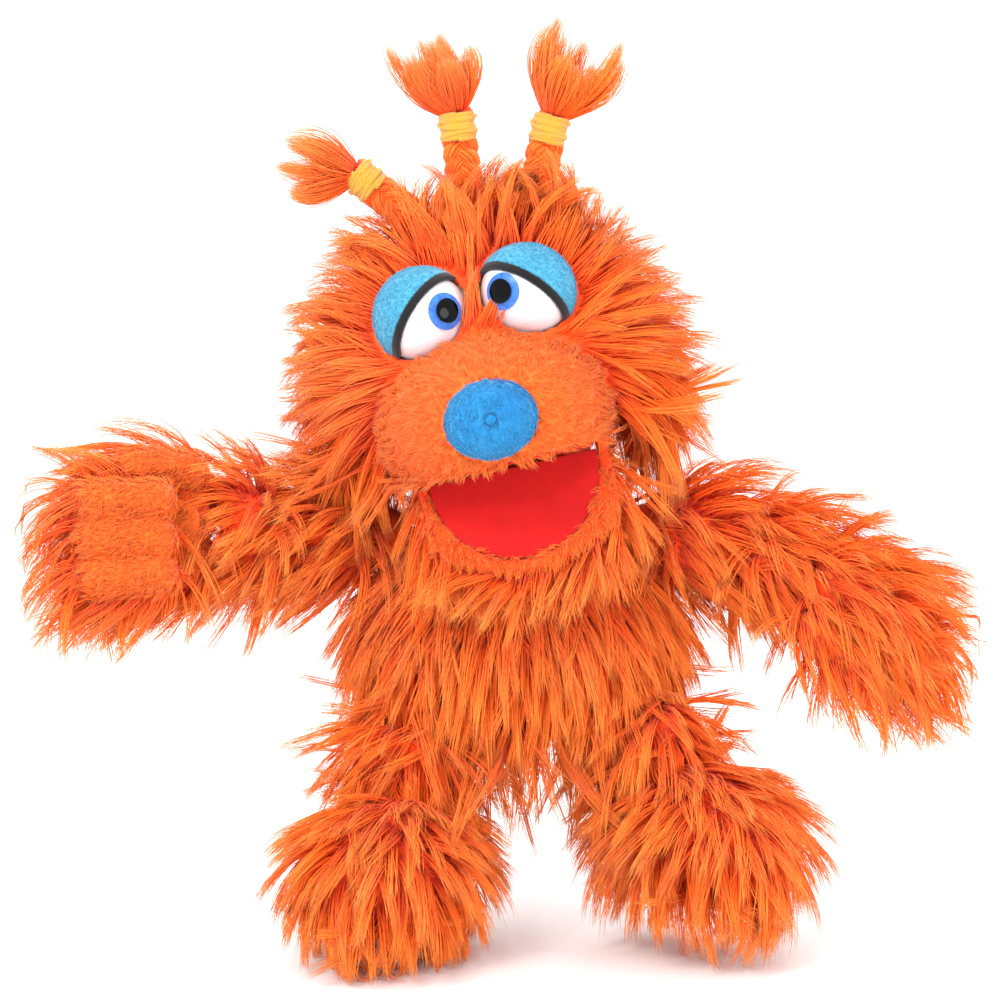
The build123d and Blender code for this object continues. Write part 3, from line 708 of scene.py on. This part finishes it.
def comb_bag(points, normals):
    x, y, z = points.T
    outward = unit(np.stack([x, y + 0.007, 0 * x], -1))
    top = ramp(z, 0.095, 0.118)
    flow = mixed(DOWN + 0.18 * outward, outward + 0.7 * DOWN, top)
    back = ramp(y, 0.0, 0.045)
    lift = 0.32 - 0.14 * back + 0.1 * top
    low = 1 - ramp(z, 0.014, 0.050)
    length = 0.060 - 0.012 * back + (0.026 - 0.016 * back) * low
    under_jaw = ramp(z, 0.086, 0.104) * ramp(-y, -0.005, 0.025) * (1 - ramp(np.abs(x), 0.050, 0.066))
    length = length * (1 - 0.6 * under_jaw)
    lift = lift * (1 - 0.5 * under_jaw)
    lift = lift - 0.08 * low
    under = ramp(-normals[:, 2], 0.5, 0.9)
    flow = mixed(flow, outward + 0.01 * DOWN, under)
    return flow, lift + 0.5 * under, length


body_skin = soft_copy("body_skin", 0.004, fur_skin)
coat("torso_fur", [body_skin], "torso", on_bag, comb_bag, 27, hold_off=out_of_bag, seed=11)
soft_copy("body_padding", 0.004, fibre)

# ---- the sleeve
WORLD = Axes((0, 0, 0), (1, 0, 0), (0, 0, 1))


def lining_wrinkles(points):
    """Slack satin: shallow upright folds that change with height."""
    x, y, z = points.T
    turn = np.arctan2(y, x)
    fold = 0.35 * np.sin(9 * turn + 40 * z) + 0.25 * np.sin(17 * turn - 90 * z + 1.3)
    fold += 0.15 * np.sin(5 * turn + 210 * z)
    fold *= ramp(z, 0.0, 0.014) * ramp(-z, -0.119, -0.108)
    radius = np.hypot(x, y)
    scale = (radius - 0.0006 * np.abs(fold)) / radius
    moved = points.copy()
    moved[:, :2] *= scale[:, None]
    return moved


heights = np.linspace(0, 0.120, 60)
lining_outline = [(0.0432, z) for z in heights] + [(0.0423, z) for z in heights[::-1]]
lathe("sleeve_lining", WORLD, lining_outline, lining_satin, "torso", "body_lining", 180, lining_wrinkles)


def cuff_ribs(points):
    turn = np.arctan2(points[:, 1], points[:, 0])
    radius = np.hypot(points[:, 0], points[:, 1])
    rib = 0.0005 * np.cos(84 * turn) * ramp(radius, 0.0445, 0.046)
    moved = points.copy()
    moved[:, :2] *= ((radius + rib) / radius)[:, None]
    return moved


around_cuff = np.linspace(-math.pi / 2, math.pi / 2, 9)
cuff_outline = (
    [(0.0464 + 0.0018 * math.cos(a), 0.0022 + 0.0020 * math.sin(a)) for a in around_cuff]
    + [(0.0466 + 0.0015 * math.cos(a), 0.0100 + 0.0018 * math.sin(a)) for a in around_cuff]
    + [(0.0439, 0.0116), (0.0439, 0.0004)]
)
lathe("cuff_knitted", WORLD, cuff_outline, cuff_knit, "torso", "sleeve_cuff", 504, cuff_ribs)
STITCHES, HEM_R, HEM_Z, THREAD_R = 60, 0.0484, 0.0062, 0.00035
stitches = []
for index in range(STITCHES):
    turn = index / STITCHES * 2 * math.pi
    arc = turn + np.linspace(0, 0.065, 5)
    reach = HEM_R + 0.0006 * np.sin(np.linspace(0, math.pi, 5))
    stitches.append(np.stack([reach * np.cos(arc), reach * np.sin(arc), HEM_Z + 0 * arc], -1))
tubes("hem_stitches", stitches, [THREAD_R] * STITCHES, thread, "torso", 6, "lining_satin")

collar = soft_copy("neck_collar", 0.0016, fur_skin, 3)
soft_copy("neck_gusset_inner", 0.0009, lining_satin, 1)
gusset = soft_copy("neck_gusset_outer", 0.0009, fur_skin, 1)


def on_neck(points, normals):
    x, y, z = points.T
    outward = normals[:, 0] * x + normals[:, 1] * y
    return (outward > 0.005) & (np.hypot(x, y) > 0.0405) & (z < 0.172)


def comb_neck(points, normals):
    outward = unit(points * np.array([1, 1, 0]))
    behind = ramp(points[:, 1], -0.015, 0.020)
    return DOWN + 0.5 * outward, 0.20 + 0.15 * behind, 0.014 + 0.036 * behind


coat("collar_fur", [collar], "torso", on_neck, comb_neck, 16, seed=12)
coat("neck_fur", [gusset], "neck_nodding", on_neck, comb_neck, 16, seed=13)

# ---- the head
FACE = HEAD.world((-0.003, -0.104, 0.074))


def on_skull(points, normals):
    local = HEAD.local(points) - SKULL
    outer = np.linalg.norm(local / SKULL_HALF, axis=1) > 0.97
    outward = (HEAD.turned(normals) * local).sum(1) > 0
    clear = ~inside_egg(points, HEAD, MUZZLE, MUZZLE_HALF + 0.002)
    for eye in EYES.values():
        clear &= np.linalg.norm(HEAD.local(points) - eye, axis=1) > EYE_R + 0.0045
    above = HEAD.local(points)[:, 2] > 0.0345
    return outer & outward & clear & above


def comb_skull(points, normals):
    local = HEAD.local(points)
    away = flat_to(points - FACE, normals)
    near = 1 - ramp(np.linalg.norm(points - FACE, axis=1), 0.045, 0.085)
    back = ramp(local[:, 1], -0.005, 0.05)
    low = 1 - ramp(local[:, 2], 0.045, 0.085)
    hang = np.maximum(back * 0.8, low * 0.45)
    flow = mixed(unit(away), unit(flat_to(DOWN + 0 * points, normals)), hang)
    lift = 0.46 - 0.34 * back - 0.12 * near
    length = 0.060 - 0.016 * back - 0.026 * near + 0.010 * low
    for root, band_at, _ in BRAIDS.values():
        close = 1 - ramp(np.linalg.norm(points - np.array(root), axis=1), 0.024, 0.052)
        up = unit(np.array(band_at) - np.array(root) + 0 * points)
        flow = mixed(flow, up, close)
        lift = lift * (1 - close) + 0.85 * close
        length = length * (1 - close) + 0.056 * close
    return flow, lift, length


head_skin = soft_copy("head_skin", 0.003, fur_skin)
head_out = out_of_egg(HEAD, SKULL, SKULL_HALF)
coat(
    "head_fur", [head_skin], "head", on_skull, comb_skull, 32,
    hold_off=head_out, seed=21, gravity=0.2, sway=0.24,
)
soft_copy("head_foam", 0.004, foam, 2)


def under_skull(points, normals):
    """The rim of the skull's flat underside, where the cheeks' hair hangs from."""
    x, y, z = HEAD.local(points).T
    rim = (z < 0.037) & (np.hypot(x, y) > 0.053)
    clear = ~inside_egg(points, HEAD, MUZZLE, MUZZLE_HALF + 0.001)
    return rim & clear & (HEAD.turned(normals)[:, 2] < -0.5)


def comb_cheeks(points, normals):
    local = HEAD.local(points)
    outward = HEAD.away(unit(local * np.array([1, 1, 0])))
    back = ramp(local[:, 1], 0.0, 0.05)
    inner = 1 - ramp(np.hypot(local[:, 0], local[:, 1]), 0.056, 0.070)
    return outward, np.clip(0.60 + 0.2 * back + 0.36 * inner, 0, 0.97), 0.058 - 0.008 * back


coat("cheek_fur", [head_skin], "head", under_skull, comb_cheeks, 52, seed=22, gravity=0.4, sway=0.3)


def on_sideburn(points, normals):
    """The skull's low sides, where longer hair hangs over the gap between the head and the shoulder."""
    x, y, z = HEAD.local(points).T
    low = (z > 0.0350) & (z < 0.062) & (np.abs(y) < 0.045)
    return on_skull(points, normals) & low & (np.abs(x) > 0.048)


def comb_sideburn(points, normals):
    local = HEAD.local(points)
    flow = DOWN + HEAD.away(local * np.array([1, 0, 0])) * 9
    return flow, *even(points, 0.30, 0.078)


coat(
    "sideburn_fur", [head_skin], "head", on_sideburn, comb_sideburn, 24,
    hold_off=head_out, seed=37, gravity=0.3, sway=0.3,
)


# ---- the muzzle, nose and mouth
def on_muzzle(points, normals):
    local = HEAD.local(points) - MUZZLE
    outward = (HEAD.turned(normals) * local).sum(1) > 0
    outer = np.linalg.norm(local / MUZZLE_HALF, axis=1) > 0.93
    clear = ~inside_egg(points, HEAD, SKULL, SKULL_HALF - 0.002)
    nose_clear = ~inside_egg(points, HEAD, NOSE, np.array([0.0245, 0.0170, 0.0205]))
    return outward & outer & clear & nose_clear & (HEAD.local(points)[:, 2] > 0.016)


def comb_muzzle(points, normals):
    local = HEAD.local(points) - NOSE
    flow = HEAD.away(local * np.array([1, 0.4, 1]))
    low = 1 - ramp(HEAD.local(points)[:, 2], 0.019, 0.030)
    rim = ramp(HEAD.local(points)[:, 1], -0.118, -0.085)
    return flow, 0.45 - 0.1 * rim, 0.0062 + 0.003 * low + 0.010 * rim


muzzle = soft_copy("muzzle_pad", 0.002, plush_skin, 8, 0.0002)
coat("muzzle_pile", [muzzle], "head", on_muzzle, comb_muzzle, 60, seed=31, **MUZZLE_PILE)


def on_jowl(points, normals):
    """The muzzle's sides above the corners of the mouth, where long hair hangs over the gap behind them."""
    local = HEAD.local(points)
    off = local - MUZZLE
    outward = (HEAD.turned(normals) * off).sum(1) > 0
    _, y, z = local.T
    beside = (np.abs(off[:, 0]) > 0.044) & (y > -0.074) & (z > 0.0165) & (z < 0.058)
    return outward & beside & ~inside_egg(points, HEAD, SKULL, SKULL_HALF - 0.002)


def comb_jowl(points, normals):
    local = HEAD.local(points)
    flow = DOWN + HEAD.away(local * np.array([1, 0, 0])) * 9 + np.array([0, 0.35, 0])
    return flow, *even(points, 0.34, 0.046)


coat("jowl_fur", [muzzle], "head", on_jowl, comb_jowl, 40, seed=36, gravity=0.4, sway=0.3)

nose_axes = Axes(HEAD.world(NOSE), HEAD.rows[0], -HEAD.rows[1])


def nose_gathers(points, normals):
    """The nose's plush drawn in by the stitches of its button."""
    local = nose_axes.local(points)
    radius = np.hypot(local[:, 0] / 0.025, local[:, 1] / 0.021)
    turn = np.arctan2(local[:, 1], local[:, 0])
    front = (local[:, 2] > 0) * (1 - ramp(radius, 0.25, 0.75))
    depth = 0.0009 * front * (0.5 + 0.5 * np.cos(7 * turn + 0.6)) * ramp(radius, 0.1, 0.3)
    return points - normals * depth[:, None]


nose = soft_copy("nose", 0.0011, nose_skin, 4, 0.0, crease=nose_gathers)


def on_nose(points, normals):
    local = nose_axes.local(points)
    return local[:, 2] > -0.010


def comb_nose(points, normals):
    local = nose_axes.local(points)
    return nose_axes.away(local * np.array([1, 1, 0])) + 0.3 * DOWN, *even(points, 0.5, 0.0036)


coat("nose_pile", [nose], "head", on_nose, comb_nose, 110, seed=32, **NOSE_PILE)
nose_button = frame["nodes"]["nose_button"]
coat("nose_button_pile", [nose_button], "head", on_nose, comb_nose, 130, seed=35, **NOSE_PILE)

soft_copy("palate_fabric", 0.0007, mouth_felt, 2)
soft_copy("jaw_fabric", 0.0007, mouth_felt, 2)
soft_copy("mouth_fold", 0.0008, mouth_felt, 2)
soft_copy("finger_pocket", 0.0007, pocket_cloth, 1)
soft_copy("thumb_pocket", 0.0007, pocket_cloth, 1)
jaw = soft_copy("jaw_pad", 0.002, fur_skin, 6)


def on_lip(points, normals):
    x, y, z = JAW.local(points).T
    return (z > -0.009) & (y < 0.002) & (np.hypot(x / 0.050, y / 0.063) > 1.0)


def comb_lip(points, normals):
    local = JAW.local(points)
    flow = JAW.away(local * np.array([1, 1, 0])) + 0.5 * DOWN
    return flow, *even(points, 0.45, 0.0095)


coat("lip_pile", [jaw], "jaw", on_lip, comb_lip, 60, seed=33, **LIP_PILE)


def on_chin(points, normals):
    x, y, z = JAW.local(points).T
    beside = (np.abs(x) > 0.0455) & (y > -0.040) & (z < -0.0005)
    under = ((z < -0.0060) | beside) & (y < 0.006)
    outward = JAW.turned(normals)[:, 2] < 0.35
    pocket = (np.abs(x) < 0.019) & (y > -0.052) & (z > -0.027)
    return under & outward & ~pocket


def comb_chin(points, normals):
    local = JAW.local(points)
    flow = DOWN * 0.9 + JAW.away(local * np.array([1.2, 0.5, 0])) * 12 + np.array([0, 0.1, 0])
    return flow, np.full(len(local), 0.32), 0.048 + 0.1 * np.abs(local[:, 0])


coat("chin_fur", [jaw], "jaw", on_chin, comb_chin, 32, seed=34, gravity=0.45)

# ---- the eyes
for name, eye in EYES.items():
    arc = np.linspace(0, math.pi / 2, 48)
    outline = [(EYE_R * math.sin(a), EYE_R * math.cos(a)) for a in arc[1:]]
    outline = [(0.0002, EYE_R)] + outline + [(EYE_R - 0.001, -0.0018), (0.0002, -0.0018)]
    eye_axes = Axes(HEAD.world(eye), HEAD.rows[0], -HEAD.rows[1])
    lathe(f"eye_white_{name}", eye_axes, outline, white_plastic, "head", f"eyeball_{name}", 96)

for name, eye in EYES.items():
    lid = soft_copy(f"eyelid_{name}", 0.0009, lid_skin, 3, 0.0003)
    centre = HEAD.world(eye)

    def on_lid(points, normals, centre=centre):
        off = points - centre
        return ((off * normals).sum(1) > 0) & (np.linalg.norm(off, axis=1) > EYE_R + 0.0012)

    def comb_lid(points, normals):
        return flat_to(points - FACE, normals) + 0.1 * DOWN, *even(points, 0.4, 0.0022)

    coat(f"lid_pile_{name}", [lid], "head", on_lid, comb_lid, 110, seed=40, **LID_PILE)
    soft_copy(f"lash_{name}", 0.0007, lash_felt, 2, 0.0001)

# ---- limbs
ARM_R, ARM_HOLD, FOREARM_HOLD, LEG_HOLD = 0.0165, 0.024, 0.023, 0.028
ARM_HAIR, SHOULDER_HAIR = 0.056, 0.050
for name, limb in LIMBS.items():
    shoulder, elbow, wrist = [np.array(limb[joint]) for joint in ("shoulder", "elbow", "wrist")]
    hip, ankle = np.array(limb["hip"]), np.array(limb["ankle"])
    out = -1 if name == "left" else 1
    glove = f"{name}_glove"
    shoulder_pad = soft_copy(f"{name}_shoulder_pad", 0.003, fur_skin, 2)
    upper = soft_copy(f"{name}_upper_arm", 0.003, fur_skin)
    fore = soft_copy(f"{name}_forearm", 0.003, fur_skin)

    def outside(start, end, reach):
        """A test for points on the outer side of a stuffed tube."""
        run = unit(end - start)

        def keep(at, normals):
            off = at - start
            off = off - (off @ run)[:, None] * run
            return ((off * normals).sum(1) > 0) & (np.linalg.norm(off, axis=1) > reach)

        return keep

    def comb_along(start, end, lift, length, down=0.55, palm_way=np.zeros(3)):
        run = unit(end - start)

        def comb(at, normals):
            top = ramp(normals[:, 2], 0.2, 0.9)
            near_palm = ramp((at - start) @ run, 0.012, 0.036) * ramp(normals @ palm_way, 0.2, 0.7)
            flow = run * 0.8 + DOWN * down + np.array([0, -0.15, 0])
            return flow + 0 * at, (lift + 0.08 * top) * (1 - 0.5 * near_palm), length * (1 - 0.6 * near_palm)

        return comb

    def on_pad(at, normals, centre=shoulder, out=out):
        return ((at - centre)[:, 0] * out > -0.004) & (normals[:, 0] * out > -0.2)

    coat(
        f"{name}_shoulder_fur", [shoulder_pad], body_of_node[f"{name}_shoulder_pad"], on_pad,
        comb_along(shoulder, elbow, 0.45, SHOULDER_HAIR), 14, seed=48 + out,
    )
    coat(
        f"{name}_arm_fur", [upper], f"{name}_arm", outside(shoulder, elbow, ARM_R),
        comb_along(shoulder, elbow, 0.50, ARM_HAIR), 26,
        hold_off=out_of_rod(shoulder, elbow, ARM_HOLD), seed=51 + out,
    )
    comb_forearm = comb_along(elbow, wrist, 0.50, ARM_HAIR, palm_way=unit(np.array(limb["palm"])))
    coat(
        f"{name}_forearm_fur", [fore], glove, outside(elbow, wrist, ARM_R), comb_forearm, 26,
        hold_off=out_of_rod(elbow, wrist, FOREARM_HOLD), seed=54 + out,
    )

    hand_axes = Axes(wrist, wrist - elbow, limb["palm"])
    palm = soft_copy(f"{name}_palm", 0.0025, fur_skin, 6)
    patch = soft_copy(f"{name}_palm_patch", 0.0012, plush_skin, 4, 0.0006)
    fingers = soft_copy(f"{name}_fingers", 0.0034, plush_skin, 9, 0.0012)
    thumb = soft_copy(f"{name}_thumb", 0.003, plush_skin, 6, 0.0006)
    furry = 0.1 if name == "left" else 0.88  # how far round the fingers the long fur goes

    def on_palm_back(at, normals, hand_axes=hand_axes):
        x, y, z = hand_axes.local(at).T
        core = (np.abs(y) < 0.030) & (np.abs(z) < 0.011) & (x < 0.058)
        return ~core & ~((hand_axes.turned(normals)[:, 2] > 0.6) & (z > 0.008)) & (x > 0.001)

    def comb_palm_back(at, normals, hand_axes=hand_axes):
        flow = hand_axes.away(np.array([0.8, 0, -0.1])) + DOWN * 0.6
        local = hand_axes.local(at)
        spread = hand_axes.away(local * np.array([0, 1, 0])) * 12
        return flow + spread, *even(at, 0.5, 0.050)

    coat(f"{name}_hand_fur", [palm], glove, on_palm_back, comb_palm_back, 24, seed=57 + out)

    def on_patch(at, normals, hand_axes=hand_axes):
        return hand_axes.turned(normals)[:, 2] > 0.1

    def on_palm_front(at, normals, hand_axes=hand_axes):
        return (hand_axes.turned(normals)[:, 2] > 0.55) & (hand_axes.local(at)[:, 2] > 0.008)

    def comb_patch(at, normals, hand_axes=hand_axes):
        flow = hand_axes.away(np.array([0.9, 0, 0])) + DOWN * 0.4
        return flow + 0 * at, *even(at, 0.45, 0.0078)

    coat(f"{name}_palm_pile", [patch], glove, on_patch, comb_patch, 45, seed=61 + out, **GLOVE_PILE)
    coat(f"{name}_palm_front_pile", [palm], glove, on_palm_front, comb_patch, 45, seed=83 + out, **GLOVE_PILE)

    finger_body = body_of_node[f"{name}_fingers"]
    thumb_body = body_of_node[f"{name}_thumb"]

    def on_finger_front(at, normals, hand_axes=hand_axes):
        return hand_axes.turned(normals)[:, 2] > -0.25

    def on_finger_back(at, normals, hand_axes=hand_axes, furry=furry):
        facing = hand_axes.turned(normals)
        return (facing[:, 2] < furry) | (facing[:, 0] > 0.8)

    for part, piece, body, density, seed in (
        ("finger", fingers, finger_body, 16, 64 + out),
        ("thumb", thumb, thumb_body, 18, 70 + out),
    ):
        coat(f"{name}_{part}_pile", [piece], body, on_finger_front, comb_patch, 55, seed=seed, **GLOVE_PILE)
        coat(f"{name}_{part}_fur", [piece], body, on_finger_back, comb_palm_back, density, seed=seed + 3)

    hip_pad = soft_copy(f"{name}_hip_pad", 0.003, fur_skin, 2)
    leg = soft_copy(f"{name}_leg", 0.003, fur_skin)
    foot = soft_copy(f"{name}_foot", 0.003, fur_skin)

    def comb_leg(at, normals, out=out):
        flow = DOWN + np.array([0.15 * out, -0.1, 0])
        return flow + 0 * at, *even(at, 0.32, 0.056)

    def on_hip(at, normals, out=out):
        return (normals[:, 1] < 0.3) | (normals[:, 0] * out > 0.2)

    hip_body = body_of_node[f"{name}_hip_pad"]
    coat(f"{name}_hip_fur", [hip_pad], hip_body, on_hip, comb_leg, 16, seed=45 + out)
    coat(
        f"{name}_leg_fur", [leg], body_of_node[f"{name}_leg"], outside(hip, ankle, ARM_R), comb_leg, 30,
        hold_off=out_of_rod(hip, ankle, LEG_HOLD), seed=76 + out,
    )
    foot_axes = Axes(ankle, limb["toes"], (0, 0, 1))
    foot_middle = np.array([0.026, 0, -0.034])
    foot_half = np.array([0.058, 0.038, 0.038])

    def on_foot(at, normals, foot_axes=foot_axes, foot_middle=foot_middle, foot_half=foot_half):
        local = foot_axes.local(at) - foot_middle
        outward = (foot_axes.turned(normals) * local).sum(1) > 0
        return outward & (np.linalg.norm(local / foot_half, axis=1) > 0.7)

    def comb_foot(at, normals, foot_axes=foot_axes, foot_middle=foot_middle):
        local = foot_axes.local(at) - foot_middle - np.array([0.01, 0, 0.03])
        out_way = unit(foot_axes.away(local * np.array([1, 1.3, 0.4])))
        sole = ramp(-normals[:, 2], 0.8, 0.97)
        crown = ramp(normals[:, 2], 0.55, 0.9)
        flow = out_way + DOWN * (0.55 * (1 - sole))[:, None]
        flow = mixed(flow, foot_axes.away(np.array([1.0, 0, 0])) + 0 * at, 0.7 * crown)
        return flow, 0.54 - 0.42 * sole - 0.24 * crown, 0.050 - 0.026 * sole

    coat(
        f"{name}_foot_fur", [foot], body_of_node[f"{name}_foot"], on_foot, comb_foot, 28,
        hold_off=out_of_egg(foot_axes, foot_middle, foot_half), seed=79 + out, gravity=0.2,
    )

# ---- the braids
PLAIT_PITCH, BUNDLE_R, CORE_R = 0.026, 0.0050, 0.0047
BAND_TURNS, BAND_WIDE, YARN_R = 12, 0.0155, 0.00135
for number, (name, (root, band_at, tip)) in enumerate(BRAIDS.items()):
    rng = np.random.default_rng(90 + number)
    root, band_at, tip = np.array(root), np.array(band_at), np.array(tip)
    braid_body = body_of_node[f"{name}_plait"]
    run = band_at - root
    length = np.linalg.norm(run)
    braid = Axes(root, (0, -1, 0), run)

    # three bundles of hair that pass over each other
    s = np.linspace(-0.06, 1.14, 44)
    turn = s * length / PLAIT_PITCH * 2 * math.pi
    taper = 1 - 0.12 * s
    paths = []
    per_bundle = max(10, int(70 * SHARE))
    cores = []
    for k in range(3):
        phase = turn + k * 2 * math.pi / 3
        core = np.stack([0.0030 * np.sin(2 * phase) * taper, 0.0062 * np.cos(phase) * taper, s * length], -1)
        cores.append(core)
        along = unit(np.gradient(core, axis=0))
        across = unit(np.cross(along, np.array([1.0, 0.2, 0.1])))
        other = np.cross(along, across)
        for _ in range(per_bundle):
            angle, reach = rng.random() * 2 * math.pi, BUNDLE_R * (0.72 + 0.36 * rng.random())
            spin = angle + s * 1.4
            paths.append(core + (across * np.cos(spin)[:, None] + other * np.sin(spin)[:, None]) * reach)
    paths = braid.world(np.array(paths))
    hairs(
        f"{name}_plait_hair", paths, 0.00042 * (0.8 + 0.4 * rng.random(len(paths))), rng.random(len(paths)),
        long_hair, braid_body, "long_fur", 0.8,
    )
    plait = tubes(
        f"{name}_plait_core", [braid.world(core) for core in cores],
        [CORE_R] * 3, fur_skin, braid_body, 14, "long_fur",
    )
    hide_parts(f"{name}_plait")

    # a band of wound yarn
    wind = np.linspace(0, BAND_TURNS * 2 * math.pi, BAND_TURNS * 26)
    rise = (wind / wind[-1] - 0.5) * BAND_WIDE + 0.0004 * np.sin(wind * 0.37 + number)
    reach = 0.0098 + 0.0003 * np.sin(wind * 1.31 + number * 2) + 0.0006 * np.cos(2 * wind)
    coil = np.stack([reach * np.cos(wind), reach * np.sin(wind), length + rise], -1)
    back = np.linspace(0, 3 * 2 * math.pi, 70)
    reach = 0.0107 + 0.0004 * np.sin(back * 1.7)
    rise = length + 0.0048 * np.cos(back / 3.1) + 0.0006 * np.sin(back * 2.3)
    over = np.stack([reach * np.cos(back + 1), reach * np.sin(back + 1), rise], -1)
    band = tubes(
        f"{name}_band_yarn", [braid.world(coil), braid.world(over)], [YARN_R, 0.0013], yarn, braid_body, 8,
        slot_of_node[f"{name}_band"],
    )
    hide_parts(f"{name}_band")

    # the loose end, in pointed locks
    start = root + run / length * (length + 0.006)
    way = unit(tip - start)
    tuft_length = np.linalg.norm(tip - start)
    fan = Axes(start, (0, -1, 0), way)
    count, locks, steps = max(60, int(1500 * SHARE)), 17, 8
    lock_angle = rng.random(locks) * 2 * math.pi
    lock_spread = 0.62 * np.sqrt(rng.random(locks))
    lock_length = tuft_length * (0.78 + 0.58 * rng.random(locks))
    which = rng.integers(0, locks, count)
    angle = lock_angle[which] + rng.normal(0, 0.42, count)
    spread = np.clip(lock_spread[which] + rng.normal(0, 0.11, count), 0.0, 0.85)
    lengths = lock_length[which] * (0.58 + 0.46 * rng.random(count))
    t = np.linspace(0, 1, steps)
    bow = np.sin(t * math.pi * 0.5) * 1.15 - 0.28 * t**2
    side_x = 0.005 * np.cos(angle) * rng.random(count) ** 0.5
    side_y = 0.005 * np.sin(angle) * rng.random(count) ** 0.5
    drawn = lock_spread[which][:, None] * 0.5 + spread[:, None] * 0.5
    wide = np.sin(drawn) * bow[None] * lengths[:, None]
    x = side_x[:, None] + np.cos(angle)[:, None] * wide
    y = side_y[:, None] + np.sin(angle)[:, None] * wide
    paths = np.stack([x, y, np.cos(drawn) * t[None] * lengths[:, None]], -1)
    across = np.sin(lock_spread)
    x = np.cos(lock_angle) * across * 0.9 * lock_length
    y = np.sin(lock_angle) * across * 0.9 * lock_length
    ends = np.stack([x, y, np.cos(lock_spread) * lock_length], -1)
    paths += (ends[which][:, None] - paths[:, -1:]) * (0.8 * t**1.8)[None, :, None]
    paths += rng.normal(0, 0.0012, (count, 1, 3)) * (t**1.4)[None, :, None]
    paths = fan.world(paths)
    made = hairs(
        f"{name}_tuft_hair", paths, 0.00034 * (0.75 + 0.5 * rng.random(count)),
        np.clip(rng.normal(0.5, 0.16, locks)[which] + rng.normal(0, 0.14, count), 0, 1),
        long_hair, braid_body, "long_fur",
    )
    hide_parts(f"{name}_tuft")

# ---- the hard parts that stay as they are
KEPT = {
    "palate_board": board,
    "jaw_board": board,
    "nose_button": nose_skin,
    "irises": iris_felt,
    "pupils": black_plastic,
    "eye_posts": post_plastic,
    "eye_washers": post_plastic,
}
for node, material in KEPT.items():
    mesh = frame["nodes"][node].data
    mesh.materials.clear()
    mesh.materials.append(material)

# ---- the studio
floor_mesh = bpy.data.meshes.new("floor")
FLOOR_HALF, FLOOR_DROP = 6, 0.0015
corners = [(x * FLOOR_HALF, y * FLOOR_HALF, 0) for x, y in ((-1, -1), (1, -1), (1, 1), (-1, 1))]
floor_mesh.from_pydata(corners, [], [(0, 1, 2, 3)])
floor = placed("floor", floor_mesh)
floor.location = (0, 0, float(ROOM_LOW[2]) - FLOOR_DROP)
pale_floor = moulded_material("pale_floor", (250, 250, 250), (247, 247, 247), 3, 0.9, bump=0.0)
floor_mesh.materials.append(pale_floor)

bpy.context.scene.view_settings.view_transform = "Standard"
world = bpy.data.worlds.new("studio")
world.use_nodes = True
world.node_tree.nodes["Background"].inputs[0].default_value = (1, 1, 1, 1)
world.node_tree.nodes["Background"].inputs[1].default_value = 1.35
bpy.context.scene.world = world


def add_light(name, place, size, power):
    light = bpy.data.lights.new(name, "AREA")
    light.shape = "DISK"
    light.size = size
    light.energy = power
    aimed(placed(name, light), place, MIDDLE)


MIDDLE = (-0.010, -0.02, 0.141)
add_light("key", (-0.9, -1.5, 1.5), 0.7, 24)
add_light("fill", (1.4, -1.3, 0.5), 0.7, 9)
add_light("catch", (-0.35, -1.6, 0.75), 0.055, 5)
add_light("back", (0.2, 1.5, 1.4), 1.0, 10)

LENS, SENSOR, HALF_VIEW = 85, 36, 0.300
camera = bpy.data.cameras.new("camera")
camera.lens = LENS
camera.sensor_width = SENSOR
eye_point = placed("camera", camera)
rise = math.radians(3.5)
reach = HALF_VIEW / (SENSOR / 2 / LENS)
aimed(eye_point, Vector(MIDDLE) + Vector((0, -math.cos(rise), math.sin(rise))) * reach, MIDDLE)
bpy.context.scene.camera = eye_point

print("hair triangles", sum(fur_count.values()), max(fur_count.values()))
